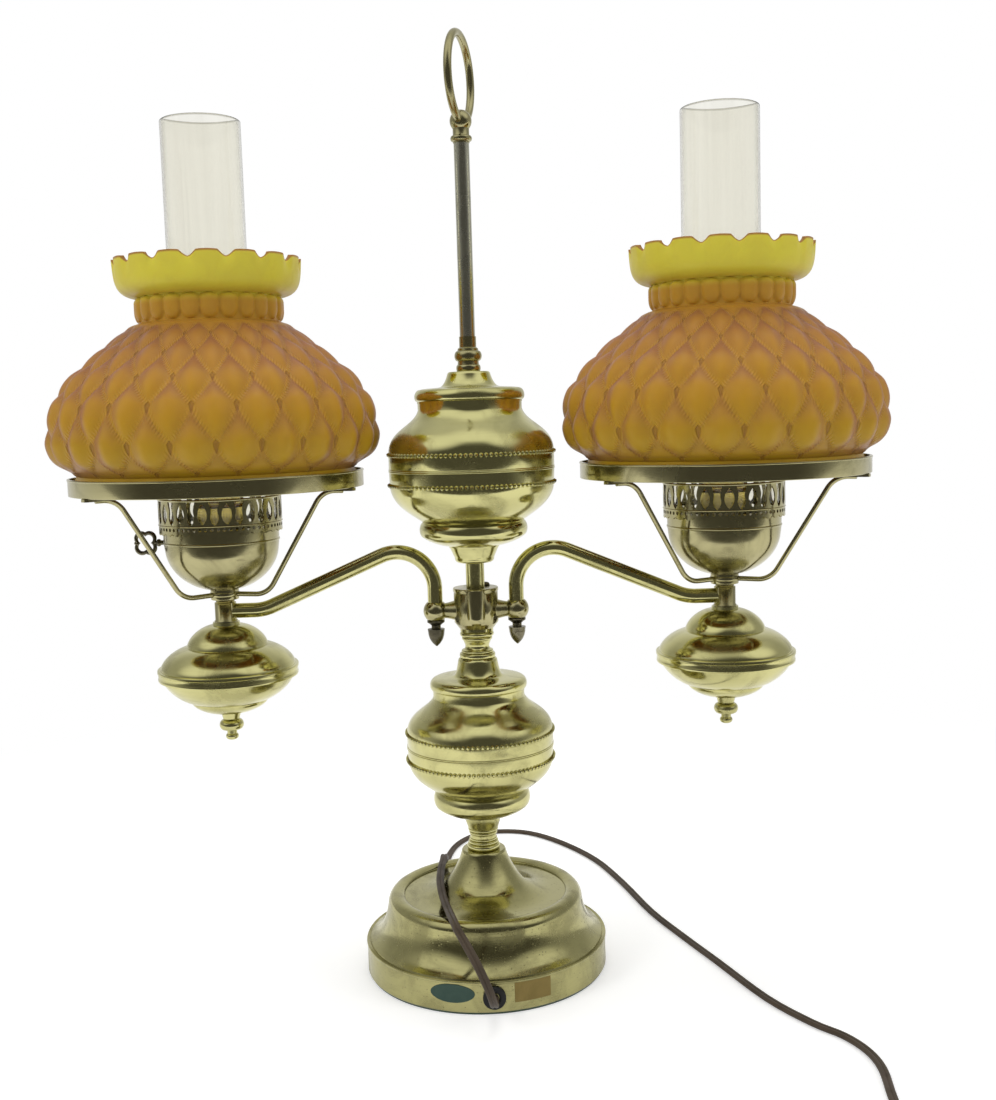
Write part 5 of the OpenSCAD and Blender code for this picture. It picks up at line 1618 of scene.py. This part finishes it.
    def key(self) -> None:
        """Make the switch key: stem, collar and a lobed open bow."""
        stem = join(
            [(0.01, 8.3), (1.5, 8.3), (1.5, 38.6)],
            bead(1.6, 38.8, 2.4, 0.8, 8),
            [(1.3, 41.6), (1.3, 43.6), (0.01, 43.6)],
        )
        bar = lathe(stem, 28)
        bmesh.ops.rotate(bar, cent=(0, 0, 0), matrix=Matrix.Rotation(math.pi / 2, 3, "Y"), verts=bar.verts[:])
        loop: Line = []
        for i, (a, b) in enumerate(((2.3, 2.8), (-2.3, 2.8), (-2.3, -2.8), (2.3, -2.8))):
            start, end = (-51, 130) if i % 2 == 0 else (50, 231)
            half_turn = 180 * (i // 2)
            loop += arc((48.4 + a, b), 3.6, start + half_turn, end + half_turn, 12)[:-1]
        bow = wire_ring([Vector((a, 0, b)) * MM for a, b in loop], self.key_wire, 12)
        knob, spot = bmesh.new(), Matrix.Translation((0.0543, 0, 0))
        bmesh.ops.create_icosphere(knob, subdivisions=2, radius=self.key_wire * MM, matrix=spot)
        bm = merged(bar, bow, knob)
        place = Matrix.Translation((self.side.at * MM, 0, self.key_z * MM))
        turn = Matrix.Rotation(math.radians(self.key_turn), 4, "Z")
        bmesh.ops.transform(bm, matrix=place @ turn, verts=bm.verts[:])
        body = f"{self.side.word}_key_body"
        self.piece("key", "bow", bm, self.finishes.dark_brass, "dark_brass", body=body)

    def build(self) -> None:
        """Make all pieces of the head."""
        self.font()
        self.holder()
        self.cup()
        self.gallery()
        self.key()


# Glass


@dataclass
class Shade(Part):
    """One quilted shade with its beaded neck and scalloped collar."""

    side: Side
    z: float = 318.2
    fitter: Point = (87, 327.2)
    belly: Point = (102.4, 352.2)
    crown: Point = (50.5, 417.3)
    neck: Point = (43, 418.2)
    rim: Point = (57, 459.2)
    columns: int = 24
    facets: int = 15
    rows: tuple[float, ...] = (419, 412.5, 402, 388, 371.5, 347, 328)
    last_row_h: float = 19
    puff: tuple[float, ...] = (0.5, 1.4, 2.6, 3.6, 4.4, 4.8, 3.2)
    sag: tuple[float, ...] = (1.2, 1.2, 1.2, 1.25, 1.45, 2.1)
    phase: float = -0.24
    bead_band: Point = (0.06, 0.42)
    bead_tall: float = 0.36
    collar_foot: float = 0.43
    lobes: int = 16
    wall: float = 3

    def line(self) -> Line:
        """Outer line of the plain shade.

        Returns:
            The line from the fitter to the rim.
        """
        foot, belly, crown, (x, z), rim = self.fitter, self.belly, self.crown, self.neck, self.rim
        h = rim[1] - z
        collar = (x + 0.2, z + self.collar_foot * h)
        return join(
            [(foot[0], self.z), (foot[0], self.z + 3), (foot[0], self.z + 6), foot],
            curve(foot, (foot[0] + 6, foot[1] + 1.6), (belly[0], belly[1] - 14), belly, 22),
            curve(belly, (belly[0], belly[1] + 27), (0.8 * belly[0], self.z + 76), crown, 44),
            curve(crown, (x + 3.5, z + 1.6), (x + 0.4, z + 1.2), (x, z + 2.3), 9),
            bead(x, z + self.bead_band[0] * h, self.bead_tall * h, 2.4, 14),
            curve(collar, (x + 13.5, z + 0.45 * h), (rim[0] + 0.3, rim[1] - 0.36 * h), rim, 20),
        )

    def row_of(self, z: float) -> float:
        """Row of the quilting at a height.

        Args:
            z: The height, in millimetres.

        Returns:
            The row, counted down from the neck.
        """
        for i, (high, low) in enumerate(zip(self.rows, self.rows[1:])):
            if z >= low:
                part = (high - z) / (high - low)
                return i + (part ** self.sag[i] if part > 0 else part)
        return len(self.rows) - 1 + (self.rows[-1] - z) / self.last_row_h

    def pillow(self, u: float, v: float) -> float:
        """Height of the quilting.

        Args:
            u: Column.
            v: Row.

        Returns:
            The height, in millimetres: below zero in the valleys.
        """
        last, hem = len(self.rows) - 1, 0.12
        if v <= 0 or v >= last + hem:
            return 0.0
        lean, back = math.floor(u + v / 2), math.floor(u - v / 2)
        row = lean - back
        du, dv = u - (lean + back + 1) / 2, v - row
        if row >= last:
            share = 0.0
        elif row == last - 1 and dv > 0:
            share = math.cos(math.pi / 2 * min(1.0, math.hypot(2 * du, dv))) ** 2
        else:
            share = math.cos(math.pi * (du + dv / 2)) * math.cos(math.pi * (du - dv / 2))
        k = min(int(v), last - 1)
        size = self.puff[k] + (self.puff[k + 1] - self.puff[k]) * min(v - k, 1.0)
        fade = min(1.0, v / 0.3, (last + hem - v) / hem)
        return size * fade * (max(share, 0.0) ** 0.95 - 0.9)

    def shaped(self, co: Vector, normal: Vector) -> Vector:
        """Where a point of the plain shade goes.

        Args:
            co: The point, about the head's own axis, in millimetres.
            normal: Its outward direction.

        Returns:
            The moved point.
        """
        a = math.atan2(co.y, co.x)
        u = self.columns * a / math.tau + self.phase
        out = co + normal * self.pillow(u, self.row_of(co.z))
        height = (co.z - self.neck[1]) / (self.rim[1] - self.neck[1])
        flat = Vector((co.x, co.y, 0)).normalized()
        if self.bead_band[0] < height < self.bead_band[1]:
            up = (height - self.bead_band[0]) / self.bead_tall
            off = math.hypot(2 * abs(u % 1.0 - 0.5), max(0.0, 1 - up / 0.45), max(0.0, (up - 0.8) / 0.22))
            swell = math.sqrt(max(0.0, 1 - min(off, 1.0) ** 2))
            out = out + flat * (2.7 * swell - 4.8 * math.sqrt(up * (1 - up)))
        if height > self.collar_foot:
            rise = ((height - self.collar_foot) / (1 - self.collar_foot)) ** 3
            off = abs((self.lobes * a / math.tau) % 1.0 - 0.5) * 2
            bite = max(0.0, 1 - ((1 - off) / 0.46) ** 2) ** 1.4
            out.z += rise * (-1.1 * off**2 - 2.9 * bite)
            out = out + flat * rise * (0.6 - 1.8 * bite)
        return out

    def build(self) -> None:
        """Make the shade, with its rows and columns in a UV map."""
        bm = lathe(self.line(), self.columns * self.facets)
        outward = sum(f.normal.xy.dot(f.calc_center_median().xy) for f in bm.faces)
        if outward < 0:
            bmesh.ops.reverse_faces(bm, faces=bm.faces[:])
        bm.normal_update()
        places = [self.shaped(v.co / MM, v.normal) * MM for v in bm.verts]
        quilt = bm.loops.layers.uv.new("quilt")
        for face in bm.faces:
            turns = [math.atan2(c.vert.co.y, c.vert.co.x) % math.tau for c in face.loops]
            wraps = max(turns) - min(turns) > math.pi
            for corner, a in zip(face.loops, turns):
                a += math.tau if wraps and a < math.pi else 0.0
                corner[quilt].uv = (self.columns * a / math.tau + self.phase, self.row_of(corner.vert.co.z / MM))
        for v, place in zip(bm.verts, places):
            v.co = place
        node = f"{self.side.word}_shade"
        shift(bm, self.side.at)
        piece = settle(bm, f"{node}_glass", self.finishes.amber, "amber_glass", (node,), f"{node}_body", 70)
        wall = piece.modifiers.new("wall", "SOLIDIFY")
        wall.thickness, wall.offset = self.wall * MM, -1.0


@dataclass
class Chimney(Part):
    """One clear chimney with its bulb inside."""

    side: Side
    z: float = 292.8
    foot_r: float = 37
    tube_r: float = 24.5
    h: float = 250
    wall: float = 1.8
    bulb_z: float = 288.7
    bulb_r: float = 17
    cap_r: float = 13
    cap_h: float = 24
    threads: int = 5
    pitch: float = 3.2

    def section(self) -> Line:
        """Closed section of the chimney's wall, with a round lip.

        Returns:
            The section.
        """
        z, r, w, half = self.z, self.foot_r, self.tube_r, self.wall / 2
        line = join(
            [(r, z), (r, z + 12)],
            curve((r, z + 12), (r, z + 24), (r - 1, z + 30), (r - 3, z + 36), 12),
            curve((r - 3, z + 36), (r - 9, z + 54), (w, z + 68), (w, z + 92), 24),
            [(w, z + self.h - half)],
        )
        both = walled(line, self.wall)
        lip = arc((w - half, z + self.h - half), half, 0, 180, 8)
        return both[: len(line)] + lip[1:-1] + both[len(line) :]

    def build(self) -> None:
        """Make the chimney and the bulb."""
        looks, at, word, c = self.finishes, self.side.at, self.side.word, self.cap_r
        node, bulb, arm = f"{word}_chimney", f"{word}_bulb", f"{word}_arm"
        glass = lathe(self.section(), 112, True, at)
        settle(glass, f"{node}_glass", looks.clear, "clear_glass", (node,), f"{node}_body", 50)
        b, g, r = self.bulb_z, self.bulb_z + self.cap_h, self.bulb_r
        threads = [bead(c - 0.4, b + 5 + self.pitch * i, self.pitch, 0.5, 6) for i in range(self.threads)]
        cap = join([(0.01, b), (4, b), (c, b + 4)], *threads, [(c, g), (0.01, g)])
        globe = join(
            [(0.01, g), (c, g)],
            curve((c, g), (c, g + 11.8), (r, g + 15.1), (r, g + 33.6), 14),
            curve((r, g + 33.6), (r, g + 60.5), (r / 2, g + 84), (0.01, g + 84), 20),
        )
        settle(lathe(cap, 64, x=at), f"{bulb}_cap", looks.socket_brass, "socket_brass", body=arm)
        settle(lathe(globe, 64, x=at), f"{bulb}_glass", looks.bulb, "bulb_glass", (bulb,), arm)


def main() -> None:
    """Build the scene: camera and cord first, then the lamp from the base upwards."""
    logging.basicConfig(level=logging.INFO, format="%(name)s: %(message)s")
    Studio().build()
    finishes = Finishes()
    for part in (MainsCord, Base, Column, CarryingRod):
        part(finishes).build()
    for side, holder_turn, key_turn in ((Side.LEFT, 103.0, 180.0), (Side.RIGHT, 90.0, 60.0)):
        SideArm(finishes, side).build()
        LampHead(finishes, side, holder_turn, key_turn).build()
        Shade(finishes, side).build()
        Chimney(finishes, side).build()


if __name__ == "__main__":
    main()
